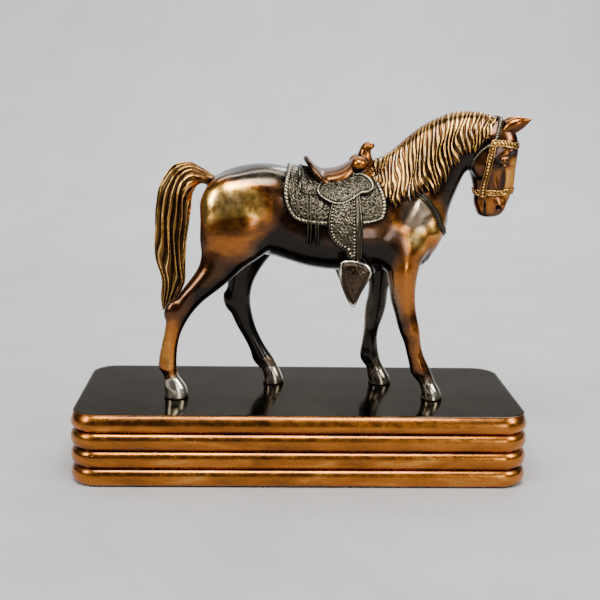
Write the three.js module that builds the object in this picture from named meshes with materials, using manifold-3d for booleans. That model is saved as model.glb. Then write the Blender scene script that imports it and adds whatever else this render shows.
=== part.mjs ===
// A saddled western horse in copper-finished cast metal, standing on a ribbed plinth.
// Millimetres. +X is the way the horse faces, +Z is up, and the origin is the centre of
// the felt under the plinth. The side with the mane is the near side, at -Y.

import * as THREE from 'three';
import { LoftGeometry } from 'three/addons/geometries/LoftGeometry.js';
import { mergeVertices } from 'three/addons/utils/BufferGeometryUtils.js';
import Module from 'manifold-3d';

const wasm = await Module();
wasm.setup();

// ---- Driving dimensions ----

const GAP = 0.3; // between neighbouring castings
const PAST_SIDES = 60; // reaches across the whole object, for cuts in side view
const NEAR = -1;
const FAR = 1;

const BASE_LENGTH = 254;
const BASE_WIDTH = 108;
const BASE_HEIGHT = 41;
const BASE_FOOT = 0.4; // the plinth's rim stands this far above the felt's face
const BASE_CORNER = 16;
const BASE_WALL = 4;
const BASE_TOP_THICKNESS = 3;
const RIB_COUNT = 4;
const RIB_DEPTH = 3;
const ROUND_STEPS = 5; // along each corner's arc and each rib's half round
const TOP_INSET = 2; // from the ribs' crests to the edge of the top face

const FELT_THICKNESS = 1.2;
const BOARD_THICKNESS = 2.5;

const SCREW_RADIUS = 1.75;
const SCREW_HEAD_RADIUS = 3.4;
const SCREW_HEAD_HEIGHT = 2.4;
const SCREW_BITE = 4.5; // how far a screw runs into its hoof
const WASHER_RADIUS = 4.6;
const WASHER_THICKNESS = 1;

const HOOF_GROUND = BASE_HEIGHT + GAP;
const BODY_WALL = 3; // of the hollow body castings

const TRUNK_SIDES = 20;
const HEAD_SIDES = 16;
const LEG_SIDES = 12;

// Thickness of each layer of tack, and how far each layer starts from the skin
const BLANKET = 1.5;
const LEATHER = 1.2;
const STRAP = 1;
const MANE = 2.4;
const MANE_PAST_CREST = 4; // how far the mane reaches over to the far side
const SKIRT_FROM = GAP + BLANKET + GAP;
const JOCKEY_FROM = SKIRT_FROM + LEATHER + GAP;
const SEAT_FROM = JOCKEY_FROM + LEATHER + GAP;
const MANE_FROM = GAP + STRAP + GAP;

const SWELL_AT = [31.5, 173.5];
const SWELL_SIZE = [11.5, 5.6]; // reach across, and radius in side view
const HORN_HEIGHT = 13;
const HORN_LEAN = 0.42;
const HORN_STEM_RADIUS = 2;
const HORN_CAP_RADIUS = 4;
const TAPADERO_THICKNESS = 8;
const TAPADERO_Y = 27;

// Vertical slices of the body: [x, belly height, back height, half width]
const TORSO = [
  [-59, 135, 152, 9],
  [-55, 123, 161, 16],
  [-47, 118, 166.6, 20.5],
  [-36, 119, 171, 22.5],
  [-22, 121.5, 173.4, 22.5],
  [-8, 119, 170.8, 22],
  [8, 115, 163.5, 22.5],
  [24, 113.3, 163.5, 22.5],
  [40, 112.5, 168, 21.5],
  [54, 112, 169, 20],
  [66, 114.5, 163, 17.5],
  [75, 121.5, 157, 13.5],
  [80.5, 133, 149, 7],
];

// Slices of the neck from withers to poll: [crest x, z, throat x, z, half width]
const NECK = [
  [34, 158, 64, 122, 13],
  [41, 171, 78, 137, 16.5],
  [51, 178.5, 84, 149, 13.5],
  [63, 189.5, 87, 157.5, 11.5],
  [76, 198.4, 90.5, 166, 10.5],
  [89, 202, 95, 172, 9],
  [101, 201.5, 101, 175, 7.5],
  [109, 197, 108, 179, 5],
];

// Slices of the head from poll to lips: [jaw x, z, face x, z, half width]
const HEAD = [
  [104, 196, 117, 198, 5.5],
  [97, 186, 121.5, 191, 8.5],
  [94.6, 176, 122.4, 182, 9.5],
  [95.6, 168.5, 121.3, 173, 8.5],
  [98, 160.5, 119.8, 163, 6.5],
  [99, 153, 118.2, 154.5, 6],
  [101.5, 147.4, 115.6, 148.2, 5.4],
  [106, 145.2, 111, 145.6, 3],
];

// Level slices of each leg from the top down, ending at the sole:
// [height, back, front, half width, distance from the middle plane]
const LEGS = {
  foreleg_near: {
    side: NEAR,
    slices: [
      [140, 46, 68, 5, 11],
      [128, 45, 68, 7.5, 12.5],
      [117, 48.5, 66, 7.5, 14],
      [107, 49.8, 65, 6.5, 15],
      [99, 51.8, 65, 5.6, 15.6],
      [91, 54.3, 66, 4.9, 16],
      [83, 56.4, 67.5, 5.3, 16],
      [75, 59.4, 68.6, 4.2, 16],
      [67, 61.6, 70.8, 4, 16],
      [61, 62.9, 73.4, 4.4, 16],
      [56, 64.2, 75.8, 4.4, 16],
      [52, 67.4, 77.8, 4, 16],
      [48.3, 69.8, 79.8, 5, 16],
      [44, 70.6, 82, 5.6, 16],
      [HOOF_GROUND, 71, 83.4, 6, 16],
    ],
  },
  foreleg_far: {
    side: FAR,
    slices: [
      [140, 36, 56, 5, 11],
      [128, 37, 57, 7.5, 12.5],
      [117, 39.5, 56, 7.5, 14],
      [106, 41.5, 53.5, 6.5, 15],
      [96, 41.2, 52.7, 5.4, 15.6],
      [86.6, 39.8, 51.6, 4.9, 16],
      [78, 39.5, 48.8, 5.3, 16],
      [70, 38.8, 47.5, 4.2, 16],
      [62, 37.8, 48, 4.4, 16],
      [57.5, 37.6, 48.8, 4.4, 16],
      [52.8, 40.4, 50.8, 4, 16],
      [49, 42, 53, 4.8, 16],
      [45, 42.4, 55, 5.4, 16],
      [HOOF_GROUND, 44, 57, 6, 16],
    ],
  },
  hindleg_near: {
    side: NEAR,
    slices: [
      [152, -50, -28, 5, 13.5],
      [140, -55.8, -20, 8.5, 14.5],
      [129, -56.4, -17.5, 9.5, 14.5],
      [121.5, -56, -27, 8.5, 15],
      [113, -59.6, -36, 7, 15.5],
      [106, -64.4, -43.5, 6, 16],
      [98, -70, -53.8, 5, 16],
      [92, -74, -59.8, 4.7, 16],
      [86.5, -75.3, -63.4, 4.5, 16],
      [79, -76.6, -67.2, 4, 16],
      [70, -78.8, -69.3, 3.8, 16],
      [62, -80.2, -69.9, 4.4, 16],
      [57, -79.6, -69.8, 4.4, 16],
      [52.6, -76.8, -68.2, 4, 16],
      [48.5, -77.4, -65, 5, 16],
      [44.5, -76.8, -63.6, 5.6, 16],
      [HOOF_GROUND, -75.6, -63.2, 6, 16],
    ],
  },
  hindleg_far: {
    side: FAR,
    slices: [
      [152, -44, -22, 5, 13.5],
      [140, -50, -14, 8.5, 14.5],
      [129, -50, -11, 9.5, 14.5],
      [120, -47, -16, 8, 15],
      [111, -42.5, -22.8, 6.5, 15.5],
      [102, -42, -26.9, 5.4, 16],
      [95.5, -42.8, -28.4, 4.7, 16],
      [90.5, -43.6, -28.6, 4.7, 16],
      [84, -40.6, -27.8, 4.4, 16],
      [75, -36, -25.4, 3.8, 16],
      [66, -30.8, -21.2, 3.9, 16],
      [58, -27.6, -15.8, 4.4, 16],
      [53.4, -26, -13, 4.2, 16],
      [49.8, -21.6, -11.2, 4.4, 16],
      [46, -20.6, -9.2, 5.2, 16],
      [HOOF_GROUND, -20, -8.2, 6, 16],
    ],
  },
};

// Slices of the tail from dock to tip: [outer x, z, inner x, z, half width, y]
const TAIL = [
  [-50, 168.5, -53, 160.5, 2.6, 0],
  [-55, 170.2, -56, 161.5, 3.6, 0],
  [-62, 174, -58.5, 160.5, 5, -0.5],
  [-71, 173, -60.5, 157.5, 5.6, -1],
  [-79, 163.5, -61.8, 152.3, 6, -1.5],
  [-82, 148, -63, 143, 6, -2],
  [-82.6, 130, -65, 128, 6, -3],
  [-81, 118, -65.2, 116, 6, -4],
  [-78.6, 107, -66.5, 106, 5.4, -5],
  [-79.4, 96.5, -70, 98.5, 4.4, -6],
  [-79.4, 90, -76.6, 91.5, 2.6, -7],
];

// Side outlines of the tack, as [x, z] points
const BLANKET_OUTLINE = [
  [-9, 180], [-10.5, 157], [-9, 150.5], [-5, 146], [0, 143.8], [8, 143],
  [34, 143], [41, 144], [44.6, 147], [46, 152.5], [45.5, 158.5], [42, 168], [38, 177],
];
const SKIRT_OUTLINE = [[-2, 180], [-2.5, 163], [0.5, 159.2], [6, 158.3], [30, 158.3], [36, 180]];
const JOCKEY_OUTLINE = [
  [13, 180], [12, 166], [8.6, 161], [12, 156], [18, 153.6], [24, 154.4], [28, 157],
  [32, 159], [36, 160], [38.4, 163], [37.4, 167], [35, 170], [34, 180],
];
const FENDER_OUTLINE = [
  [17, 153], [14.4, 148], [14.2, 141], [16.5, 134], [20, 130.6], [24, 128],
  [25.5, 125], [32, 125], [32, 158.4], [28, 156.4], [24, 153.9], [18, 153.1],
];
const STIRRUP_LEATHER_OUTLINE = [[32.3, 125.2], [35, 125.2], [35, 159.2], [32.3, 158.3]];
const TAPADERO_OUTLINE = [
  [21.5, 123.4], [28, 123.8], [34.5, 122.2], [38, 118], [38, 115], [35, 110],
  [31.8, 104.5], [29.3, 97.6], [26.5, 101], [23, 107.8], [21, 115],
];
const STRING_OUTLINE = [
  [2.4, 157.4], [8, 157.4], [8.6, 131], [6.8, 131], [6.2, 146], [5.2, 146], [5.2, 131.4],
  [3.2, 131.4],
];
const CINCH_OUTLINE = [[33.5, 142.4], [41, 142.4], [41.5, 105], [33.5, 105]];
const BREAST_COLLAR_OUTLINE = [[47, 161.5], [66, 161], [84, 140.5], [84, 134], [64, 155.5], [47, 156]];
const SEAT_OUTLINE = [
  [1, 178.4], [3.2, 177], [7, 173.2], [12, 171.6], [18, 172], [24, 174.4], [28.5, 177],
  [28.5, 160], [8, 160],
];
const MANE_OUTLINE = [
  [39, 177], [43, 168], [46.6, 159], [47, 152], [53, 154], [58, 152], [63, 151], [68, 158],
  [74, 157.5], [79, 164], [84, 170], [90, 178], [98, 184], [106, 190], [111, 204], [95, 210],
  [76, 208], [58, 198],
];

// Side outlines of the bridle, as [x, z] points
const CROWN_OUTLINE = [[105.6, 189.5], [109.6, 206], [113.2, 204], [109.8, 189.5]];
const BROWBAND_OUTLINE = [[110, 184.8], [126, 183.4], [126, 187.6], [110, 188.8]];
const CHEEK_OUTLINE = [[104, 184.4], [107.8, 184.4], [105.6, 170], [104.6, 161.4], [101, 161.4], [101.4, 170]];
const NOSEBAND_OUTLINE = [[92, 157.4], [124, 157.4], [124, 161], [92, 161]];
const THROATLATCH_OUTLINE = [[104.8, 185.2], [104.8, 188.4], [96, 181], [92, 173.5], [94.2, 172.5], [98, 179]];
const ROSETTE_AT = [107.4, 187];
const ROSETTE_RADIUS = 2.2;

const FINISH = {
  ribs: [0x9a5f34, 0.28],
  board: [0x5b4632, 0.9],
  felt: [0x2f4a36, 0.95],
  steel: [0xa9adb0, 0.35],
  horse: [0x7d4a29, 0.3],
  hair: [0x8a6a3a, 0.38],
  tack: [0x6f6653, 0.45],
  seat: [0x9b5a30, 0.3],
  toe_cover: [0x54402c, 0.4],
};

// ---- Solids ----

/** A manifold solid from a closed three.js geometry, turned so its faces point out. */
function solid(geometry) {
  const bare = new THREE.BufferGeometry();
  bare.setAttribute('position', geometry.getAttribute('position'));
  bare.setIndex(geometry.getIndex());
  const merged = mergeVertices(bare, 1e-4);
  const at = merged.getAttribute('position');
  const triangles = Array.from(merged.getIndex().array);
  const corners = [new THREE.Vector3(), new THREE.Vector3(), new THREE.Vector3()];
  const triples = [];
  let volume = 0;
  for (let i = 0; i < triangles.length; i += 3) {
    const triple = triangles.slice(i, i + 3);
    if (new Set(triple).size < 3) continue;
    corners.forEach((corner, k) => corner.fromBufferAttribute(at, triple[k]));
    volume += corners[0].dot(corners[1].clone().cross(corners[2]));
    triples.push(triple);
  }
  if (volume < 0) triples.forEach((triple) => triple.reverse());
  return new wasm.Manifold(new wasm.Mesh({
    numProp: 3,
    vertProperties: new Float32Array(at.array),
    triVerts: new Uint32Array(triples.flat()),
  }));
}

/** The mesh of a sub-part, from its solid. */
function part(name, body, [colour, roughness], metalness = 1) {
  const mesh = body.getMesh();
  const geometry = new THREE.BufferGeometry();
  geometry.setAttribute('position', new THREE.BufferAttribute(Float32Array.from(mesh.vertProperties), 3));
  geometry.setIndex(Array.from(mesh.triVerts));
  geometry.computeVertexNormals();
  const material = new THREE.MeshStandardMaterial({ color: colour, roughness, metalness });
  const piece = new THREE.Mesh(geometry, material);
  piece.name = name;
  return piece;
}

/** The largest of the bodies that a cut has left. */
function largest(body) {
  const pieces = body.decompose();
  return pieces.reduce((best, piece) => (piece.volume() > best.volume() ? piece : best));
}

/** A prism through the object, from y = low to y = high, of a side outline in X and Z. */
function prism(outline, low, high) {
  const shape = new THREE.Shape(outline.map(([x, z]) => new THREE.Vector2(x, z)));
  const geometry = new THREE.ExtrudeGeometry(shape, { depth: high - low, bevelEnabled: false });
  geometry.rotateX(Math.PI / 2);
  geometry.translate(0, high, 0);
  return solid(geometry);
}

/** An oval ring of points between two ends in side view, with a half width across Y. */
function ring(startX, startZ, endX, endZ, half, y, grow, count) {
  const along = new THREE.Vector2(endX - startX, endZ - startZ);
  const reach = 1 + (2 * grow) / along.length();
  const points = [];
  for (let i = 0; i < count; i += 1) {
    const angle = (i / count) * 2 * Math.PI;
    const share = (Math.cos(angle) * reach) / 2;
    points.push(new THREE.Vector3(
      (startX + endX) / 2 + along.x * share,
      y + (half + grow) * Math.sin(angle),
      (startZ + endZ) / 2 + along.y * share,
    ));
  }
  return points;
}

function centre(ringPoints) {
  const sum = ringPoints.reduce((total, point) => total.add(point), new THREE.Vector3());
  return sum.divideScalar(ringPoints.length);
}

/** A closed skin through rings, with its ends pushed out by grow and drawn in to a point. */
function skin(rings, grow = 0) {
  const last = rings.length - 1;
  const ends = [[0, 1], [last, last - 1]].map(([end, next]) => {
    const push = centre(rings[end]).sub(centre(rings[next])).setLength(1).multiplyScalar(grow);
    rings[end].forEach((point) => point.add(push));
    return rings[end].map(() => centre(rings[end]));
  });
  return solid(new LoftGeometry([ends[0], ...rings, ends[1]]));
}

const grownSolids = new Map();

/** Makes a grown solid once and keeps it, since many layers are cut from the same ones. */
function once(name, grow, make) {
  const key = `${name} ${grow.toFixed(2)}`;
  if (!grownSolids.has(key)) grownSolids.set(key, make(grow));
  return grownSolids.get(key);
}

/** Body and neck together, with their surface moved out by grow. */
function trunk(grow) {
  return once('trunk', grow, () => {
    const torso = TORSO.map(([x, low, high, half]) => ring(x, low, x, high, half, 0, grow, TRUNK_SIDES));
    const neck = NECK.map(([cx, cz, tx, tz, half]) => ring(tx, tz, cx, cz, half, 0, grow, TRUNK_SIDES));
    return skin(torso, grow).add(skin(neck, grow));
  });
}

/** The head with its surface moved out by grow. */
function head(grow) {
  return once('head', grow, () => skin(
    HEAD.map(([jx, jz, fx, fz, half]) => ring(jx, jz, fx, fz, half, 0, grow, HEAD_SIDES)),
    grow,
  ));
}

/** What of a body lies on one side of the middle plane. */
function sidePart(body, side) {
  const everything = [[-130, 0], [130, 0], [130, 230], [-130, 230]];
  const half = side === NEAR
    ? prism(everything, -PAST_SIDES, -GAP / 2)
    : prism(everything, GAP / 2, PAST_SIDES);
  return body.intersect(half);
}

/** A layer on a grown solid: what lies in the prism between two distances from its surface. */
function layer(form, outline, from, thickness, low = -PAST_SIDES, high = PAST_SIDES) {
  return prism(outline, low, high).intersect(form(from + thickness)).subtract(form(from));
}

// ---- Plinth ----

/** The plan of the plinth, with rounded corners, drawn in by inset at one height. */
function plan(inset, z) {
  const radius = BASE_CORNER - inset;
  const steps = ROUND_STEPS;
  const points = [];
  for (let corner = 0; corner < 4; corner += 1) {
    const signX = corner === 0 || corner === 3 ? 1 : -1;
    const signY = corner < 2 ? 1 : -1;
    const x = signX * (BASE_LENGTH / 2 - BASE_CORNER);
    const y = signY * (BASE_WIDTH / 2 - BASE_CORNER);
    for (let i = 0; i <= steps; i += 1) {
      const angle = ((corner + i / steps) * Math.PI) / 2;
      points.push(new THREE.Vector3(x + radius * Math.cos(angle), y + radius * Math.sin(angle), z));
    }
  }
  return points;
}

function slab(inset, low, high) {
  return skin([plan(inset, low), plan(inset, high)]);
}

/** Half-round ribs stacked up the sides, the top one turning in to the top face. */
function ribbedBlock() {
  const steps = ROUND_STEPS;
  const pitch = (BASE_HEIGHT - BASE_FOOT) / RIB_COUNT;
  const rows = [];
  for (let i = 0; i <= RIB_COUNT * steps; i += 1) {
    const round = Math.sin(((i % steps) / steps) * Math.PI) ** 0.6;
    const z = BASE_FOOT + (i * pitch) / steps;
    const inset = i === RIB_COUNT * steps ? TOP_INSET + 0.6 : RIB_DEPTH * (1 - round);
    rows.push(plan(inset, z));
  }
  return skin(rows);
}

/** The sole's centre of each leg, where its screw comes up through the plinth. */
function soleCentre({ side, slices }) {
  const [, back, front, , offset] = slices[slices.length - 1];
  return [(back + front) / 2, side * offset];
}

/** A round bar standing on end. */
function bar(radius, low, high, [x, y], sides = 12) {
  const profile = [[0, low], [radius, low], [radius, high], [0, high]];
  const geometry = new THREE.LatheGeometry(profile.map(([r, z]) => new THREE.Vector2(r, z)), sides);
  geometry.rotateX(Math.PI / 2);
  geometry.translate(x, y, 0);
  return solid(geometry);
}

function baseShell() {
  const inside = slab(RIB_DEPTH + BASE_WALL, -1, BASE_HEIGHT - BASE_TOP_THICKNESS);
  const holes = Object.values(LEGS).map((leg) => bar(
    SCREW_RADIUS + GAP,
    BASE_HEIGHT - BASE_TOP_THICKNESS - 1,
    BASE_HEIGHT + 1,
    soleCentre(leg),
  ));
  return holes.reduce((body, hole) => body.subtract(hole), ribbedBlock().subtract(inside));
}

function bottomBoard() {
  const low = FELT_THICKNESS + GAP;
  return slab(RIB_DEPTH + BASE_WALL + GAP, low, low + BOARD_THICKNESS);
}

function feltPad() {
  return slab(RIB_DEPTH + BASE_WALL + GAP, 0, FELT_THICKNESS);
}

/** A washer under the top face, for one leg's screw. */
function washer(leg) {
  const top = BASE_HEIGHT - BASE_TOP_THICKNESS - GAP;
  const at = soleCentre(leg);
  const disc = bar(WASHER_RADIUS, top - WASHER_THICKNESS, top, at, 16);
  return disc.subtract(bar(SCREW_RADIUS + GAP, top - WASHER_THICKNESS - 1, top + 1, at));
}

/** A pan-head screw with a cross recess, head down, running up into one leg's hoof. */
function screw(leg) {
  const seat = BASE_HEIGHT - BASE_TOP_THICKNESS - 2 * GAP - WASHER_THICKNESS;
  const [x, y] = soleCentre(leg);
  const profile = [
    [0, seat - SCREW_HEAD_HEIGHT],
    [SCREW_HEAD_RADIUS * 0.6, seat - SCREW_HEAD_HEIGHT],
    [SCREW_HEAD_RADIUS, seat - SCREW_HEAD_HEIGHT / 2],
    [SCREW_HEAD_RADIUS, seat],
    [SCREW_RADIUS, seat],
    [SCREW_RADIUS, HOOF_GROUND + SCREW_BITE - SCREW_RADIUS],
    [0, HOOF_GROUND + SCREW_BITE],
  ];
  const geometry = new THREE.LatheGeometry(profile.map(([r, z]) => new THREE.Vector2(r, z)), 12);
  geometry.rotateX(Math.PI / 2);
  geometry.translate(x, y, 0);
  const body = solid(geometry);
  return [0, Math.PI / 2].reduce((cut, turn) => {
    const slot = new THREE.BoxGeometry(SCREW_HEAD_RADIUS * 1.1, 0.8, 2.2);
    slot.rotateZ(turn);
    slot.translate(x, y, seat - SCREW_HEAD_HEIGHT);
    return cut.subtract(solid(slot));
  }, body);
}

// ---- Horse ----

/** One side of the hollow body and neck, split on the middle plane. */
function bodyHalf(side) {
  const shell = trunk(0).subtract(trunk(-BODY_WALL)).subtract(head(GAP));
  return largest(sidePart(shell, side));
}

/** A whole leg with its surface moved out by grow, before it is fitted to the body. */
function limb({ side, slices }, grow) {
  return skin(slices.map(([z, back, front, half, offset]) => ring(
    back, z, front, z, half, side * offset, grow, LEG_SIDES,
  )), grow);
}

/** One leg with its hoof, cut where it meets the body, with a blind hole for its screw. */
function leg(form) {
  const hole = bar(SCREW_RADIUS + GAP, HOOF_GROUND - 1, HOOF_GROUND + SCREW_BITE + 1, soleCentre(form));
  return largest(limb(form, 0).subtract(trunk(GAP)).subtract(hole));
}

/** A piece of tack or the tail, with room made for every leg. */
function clearOfLegs(body) {
  return Object.values(LEGS).reduce((cut, form) => cut.subtract(limb(form, GAP)), body);
}

/** An ear: a leaning cone, flattened and cupped towards the front. */
function ear(side) {
  const rings = [
    [113, 189, 113.5, 198, 2.4],
    [117.5, 190, 117, 199.6, 2.8],
    [121.5, 192.5, 121.5, 200.3, 2.4],
    [125, 196, 125, 200.4, 1.4],
    [127, 199, 127, 200, 0.5],
  ].map(([lx, lz, hx, hz, half]) => ring(lx, lz, hx, hz, half, side * 5.5, 0, 10));
  return largest(skin(rings).subtract(head(GAP)).subtract(trunk(GAP)));
}

function tail() {
  const rings = TAIL.map(([ox, oz, ix, iz, half, y]) => ring(ix, iz, ox, oz, half, y, 0, 14));
  return largest(clearOfLegs(skin(rings).subtract(trunk(GAP))));
}

/** The mane: a thick fall of hair over the crest and down the near side. */
function mane() {
  const fall = layer(trunk, MANE_OUTLINE, MANE_FROM, MANE, -PAST_SIDES, MANE_PAST_CREST);
  return largest(fall.subtract(head(MANE_FROM + GAP)));
}

// ---- Saddle ----

function saddleBlanket() {
  return largest(layer(trunk, BLANKET_OUTLINE, GAP, BLANKET));
}

function saddleSkirt() {
  return largest(layer(trunk, SKIRT_OUTLINE, SKIRT_FROM, LEATHER));
}

/** A seat jockey: the scalloped flap beside the seat. */
function seatJockey(side) {
  return largest(sidePart(layer(trunk, JOCKEY_OUTLINE, JOCKEY_FROM, LEATHER), side));
}

/** A fender: the wide leather that hangs from the saddle to the stirrup. */
function fender(side) {
  return largest(sidePart(layer(trunk, FENDER_OUTLINE, JOCKEY_FROM, LEATHER), side));
}

/** The strap in front of the fender that carries the stirrup. */
function stirrupLeather(side) {
  return largest(sidePart(layer(trunk, STIRRUP_LEATHER_OUTLINE, JOCKEY_FROM, LEATHER), side));
}

/** A pair of saddle strings, joined at the top where they are tied. */
function saddleStrings(side) {
  return largest(sidePart(layer(trunk, STRING_OUTLINE, JOCKEY_FROM, STRAP), side));
}

/** The dished seat with its upright cantle, narrower in front. */
function saddleSeat() {
  const widths = [[0.5, 13], [6, 12.5], [14, 11], [22, 8], [29, 7]];
  const sides = skin(widths.map(([x, half]) => ring(x, 150, x, 200, half, 0, 0, 20)));
  const block = prism(SEAT_OUTLINE, -20, 20).intersect(sides);
  return largest(block.subtract(trunk(SEAT_FROM)).subtract(fork(GAP)));
}

/** A turned shape standing at a point in side view and leaning forward. */
function turned(profile, [x, z], lean, sides = 14) {
  const geometry = new THREE.LatheGeometry(profile.map(([r, h]) => new THREE.Vector2(r, h)), sides);
  geometry.rotateX(Math.PI / 2);
  geometry.rotateY(lean);
  geometry.translate(x, 0, z);
  return solid(geometry);
}

/** The fork before it is fitted to the back: a swell across it, and the horn. */
function fork(grow) {
  const swell = new THREE.SphereGeometry(1, 16, 10);
  const [across, radius] = SWELL_SIZE;
  swell.scale(radius + grow, across + grow, radius + grow);
  swell.translate(SWELL_AT[0], 0, SWELL_AT[1]);
  const stem = HORN_STEM_RADIUS + grow;
  const cap = HORN_CAP_RADIUS + grow;
  const horn = [
    [0, 0],
    [stem * 1.6, 0],
    [stem, HORN_HEIGHT * 0.5],
    [stem, HORN_HEIGHT * 0.75],
    [cap, HORN_HEIGHT * 0.82],
    [cap * 0.9, HORN_HEIGHT],
    [0, HORN_HEIGHT + grow + 0.4],
  ];
  return solid(swell).add(turned(horn, SWELL_AT, HORN_LEAN));
}

function saddleFork() {
  return largest(fork(0).subtract(trunk(SEAT_FROM)));
}

/** A tapadero: the pointed leather hood over a stirrup. */
function tapadero(side) {
  const shape = new THREE.Shape(TAPADERO_OUTLINE.map(([x, z]) => new THREE.Vector2(x, z)));
  const bevel = 1.5;
  const geometry = new THREE.ExtrudeGeometry(shape, {
    depth: TAPADERO_THICKNESS - 2 * bevel,
    bevelThickness: bevel,
    bevelSize: bevel,
    bevelOffset: -bevel,
    bevelSegments: 2,
  });
  geometry.rotateX(Math.PI / 2);
  geometry.translate(0, side * TAPADERO_Y + TAPADERO_THICKNESS / 2 - bevel, 0);
  return solid(geometry);
}

function cinch() {
  return largest(clearOfLegs(layer(trunk, CINCH_OUTLINE, GAP, LEATHER)));
}

function breastCollar() {
  return largest(clearOfLegs(layer(trunk, BREAST_COLLAR_OUTLINE, GAP, STRAP)));
}

// ---- Bridle ----

/** A strap on the head, clear of the neck. */
function headStrap(outline) {
  return layer(head, outline, GAP, STRAP).subtract(trunk(GAP));
}

function crownStrap() {
  return largest(headStrap(CROWN_OUTLINE));
}

function browband() {
  return largest(headStrap(BROWBAND_OUTLINE));
}

function noseband() {
  return largest(headStrap(NOSEBAND_OUTLINE));
}

function cheekStrap(side) {
  return largest(sidePart(headStrap(CHEEK_OUTLINE), side));
}

function throatlatch(side) {
  return largest(sidePart(headStrap(THROATLATCH_OUTLINE), side));
}

/** The round button where the straps of the bridle meet. */
function rosette(side) {
  const [x, z] = ROSETTE_AT;
  const points = Array.from({ length: 12 }, (_, i) => {
    const angle = (i / 12) * 2 * Math.PI;
    return [x + ROSETTE_RADIUS * Math.cos(angle), z + ROSETTE_RADIUS * Math.sin(angle)];
  });
  return largest(sidePart(layer(head, points, GAP, STRAP * 1.5).subtract(trunk(GAP)), side));
}

// ---- Assembly ----

const group = new THREE.Group();

function add(name, body, finish, metalness) {
  group.add(part(name, body, finish, metalness));
}

add('base_shell', baseShell(), FINISH.ribs);
add('bottom_board', bottomBoard(), FINISH.board, 0);
add('felt_pad', feltPad(), FINISH.felt, 0);
Object.entries(LEGS).forEach(([name, form]) => {
  add(name, leg(form), FINISH.horse);
  add(`screw_${name}`, screw(form), FINISH.steel);
  add(`washer_${name}`, washer(form), FINISH.steel);
});
add('head', head(0), FINISH.horse);
add('tail', tail(), FINISH.hair);
add('mane', mane(), FINISH.hair);
add('saddle_blanket', saddleBlanket(), FINISH.tack);
add('saddle_skirt', saddleSkirt(), FINISH.tack);
add('saddle_seat', saddleSeat(), FINISH.seat);
add('saddle_fork', saddleFork(), FINISH.seat);
add('cinch', cinch(), FINISH.tack);
add('breast_collar', breastCollar(), FINISH.tack);
add('crown_strap', crownStrap(), FINISH.tack);
add('browband', browband(), FINISH.tack);
add('noseband', noseband(), FINISH.tack);
[[NEAR, 'near'], [FAR, 'far']].forEach(([side, name]) => {
  add(`body_half_${name}`, bodyHalf(side), FINISH.horse);
  add(`ear_${name}`, ear(side), FINISH.horse);
  add(`seat_jockey_${name}`, seatJockey(side), FINISH.tack);
  add(`fender_${name}`, fender(side), FINISH.tack);
  add(`stirrup_leather_${name}`, stirrupLeather(side), FINISH.tack);
  add(`saddle_strings_${name}`, saddleStrings(side), FINISH.tack);
  add(`tapadero_${name}`, tapadero(side), FINISH.toe_cover);
  add(`cheek_strap_${name}`, cheekStrap(side), FINISH.tack);
  add(`throatlatch_${name}`, throatlatch(side), FINISH.tack);
  add(`rosette_${name}`, rosette(side), FINISH.tack);
});

export default group;
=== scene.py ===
"""A saddled western horse in copper-finished cast metal, standing on a ribbed plinth.

The horse's skin is one smooth field of distances, built from slices and muscles, and the
saddle, bridle, mane and tail are laid on it. Lengths are millimetres until a mesh is made.
+X is the way the horse faces, +Z is up, and the near side, with the mane, is at -Y.
"""

import math

import bpy
import numpy as np
import openvdb
from mathutils import Matrix, Vector


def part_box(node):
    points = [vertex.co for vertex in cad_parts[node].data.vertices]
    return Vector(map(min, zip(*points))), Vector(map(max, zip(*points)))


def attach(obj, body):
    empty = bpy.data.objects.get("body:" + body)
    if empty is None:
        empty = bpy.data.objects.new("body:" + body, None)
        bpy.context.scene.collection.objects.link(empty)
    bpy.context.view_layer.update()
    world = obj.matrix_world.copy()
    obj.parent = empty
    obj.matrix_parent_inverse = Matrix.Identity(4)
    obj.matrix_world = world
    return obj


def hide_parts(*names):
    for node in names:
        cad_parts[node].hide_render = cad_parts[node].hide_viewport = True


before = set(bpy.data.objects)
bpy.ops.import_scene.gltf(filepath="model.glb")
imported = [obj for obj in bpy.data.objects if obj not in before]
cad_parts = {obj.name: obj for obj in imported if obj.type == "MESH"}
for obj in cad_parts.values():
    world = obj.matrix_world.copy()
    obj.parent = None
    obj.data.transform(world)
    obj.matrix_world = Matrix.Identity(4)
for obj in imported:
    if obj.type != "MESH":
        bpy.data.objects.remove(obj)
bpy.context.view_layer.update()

MM = 0.001
FAR_AWAY = 60.0
NEAR, FAR = -1, 1
SIDES = ((NEAR, "near"), (FAR, "far"))
rng = np.random.default_rng(7)

PLINTH_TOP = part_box("base_shell")[1].z / MM


# ---------------------------------------------------------------- fields of distances


def smooth_rows(rows, count):
    """Rows of numbers, resampled evenly along a smooth curve through them."""
    rows = np.asarray(rows, float)
    centres = np.stack([rows[:, [0, 2]].mean(1), rows[:, [1, 3]].mean(1)], 1)
    t = np.r_[0, np.cumsum(np.linalg.norm(np.diff(centres, axis=0), axis=1))]
    slope = np.gradient(rows, t, axis=0)
    s = np.linspace(0, t[-1], count)
    i = np.clip(np.searchsorted(t, s, "right") - 1, 0, len(t) - 2)
    width = (t[i + 1] - t[i])[:, None]
    u = ((s - t[i]) / width[:, 0])[:, None]
    return (
        (2 * u**3 - 3 * u**2 + 1) * rows[i]
        + (u**3 - 2 * u**2 + u) * width * slope[i]
        + (3 * u**2 - 2 * u**3) * rows[i + 1]
        + (u**3 - u**2) * width * slope[i + 1]
    )


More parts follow.
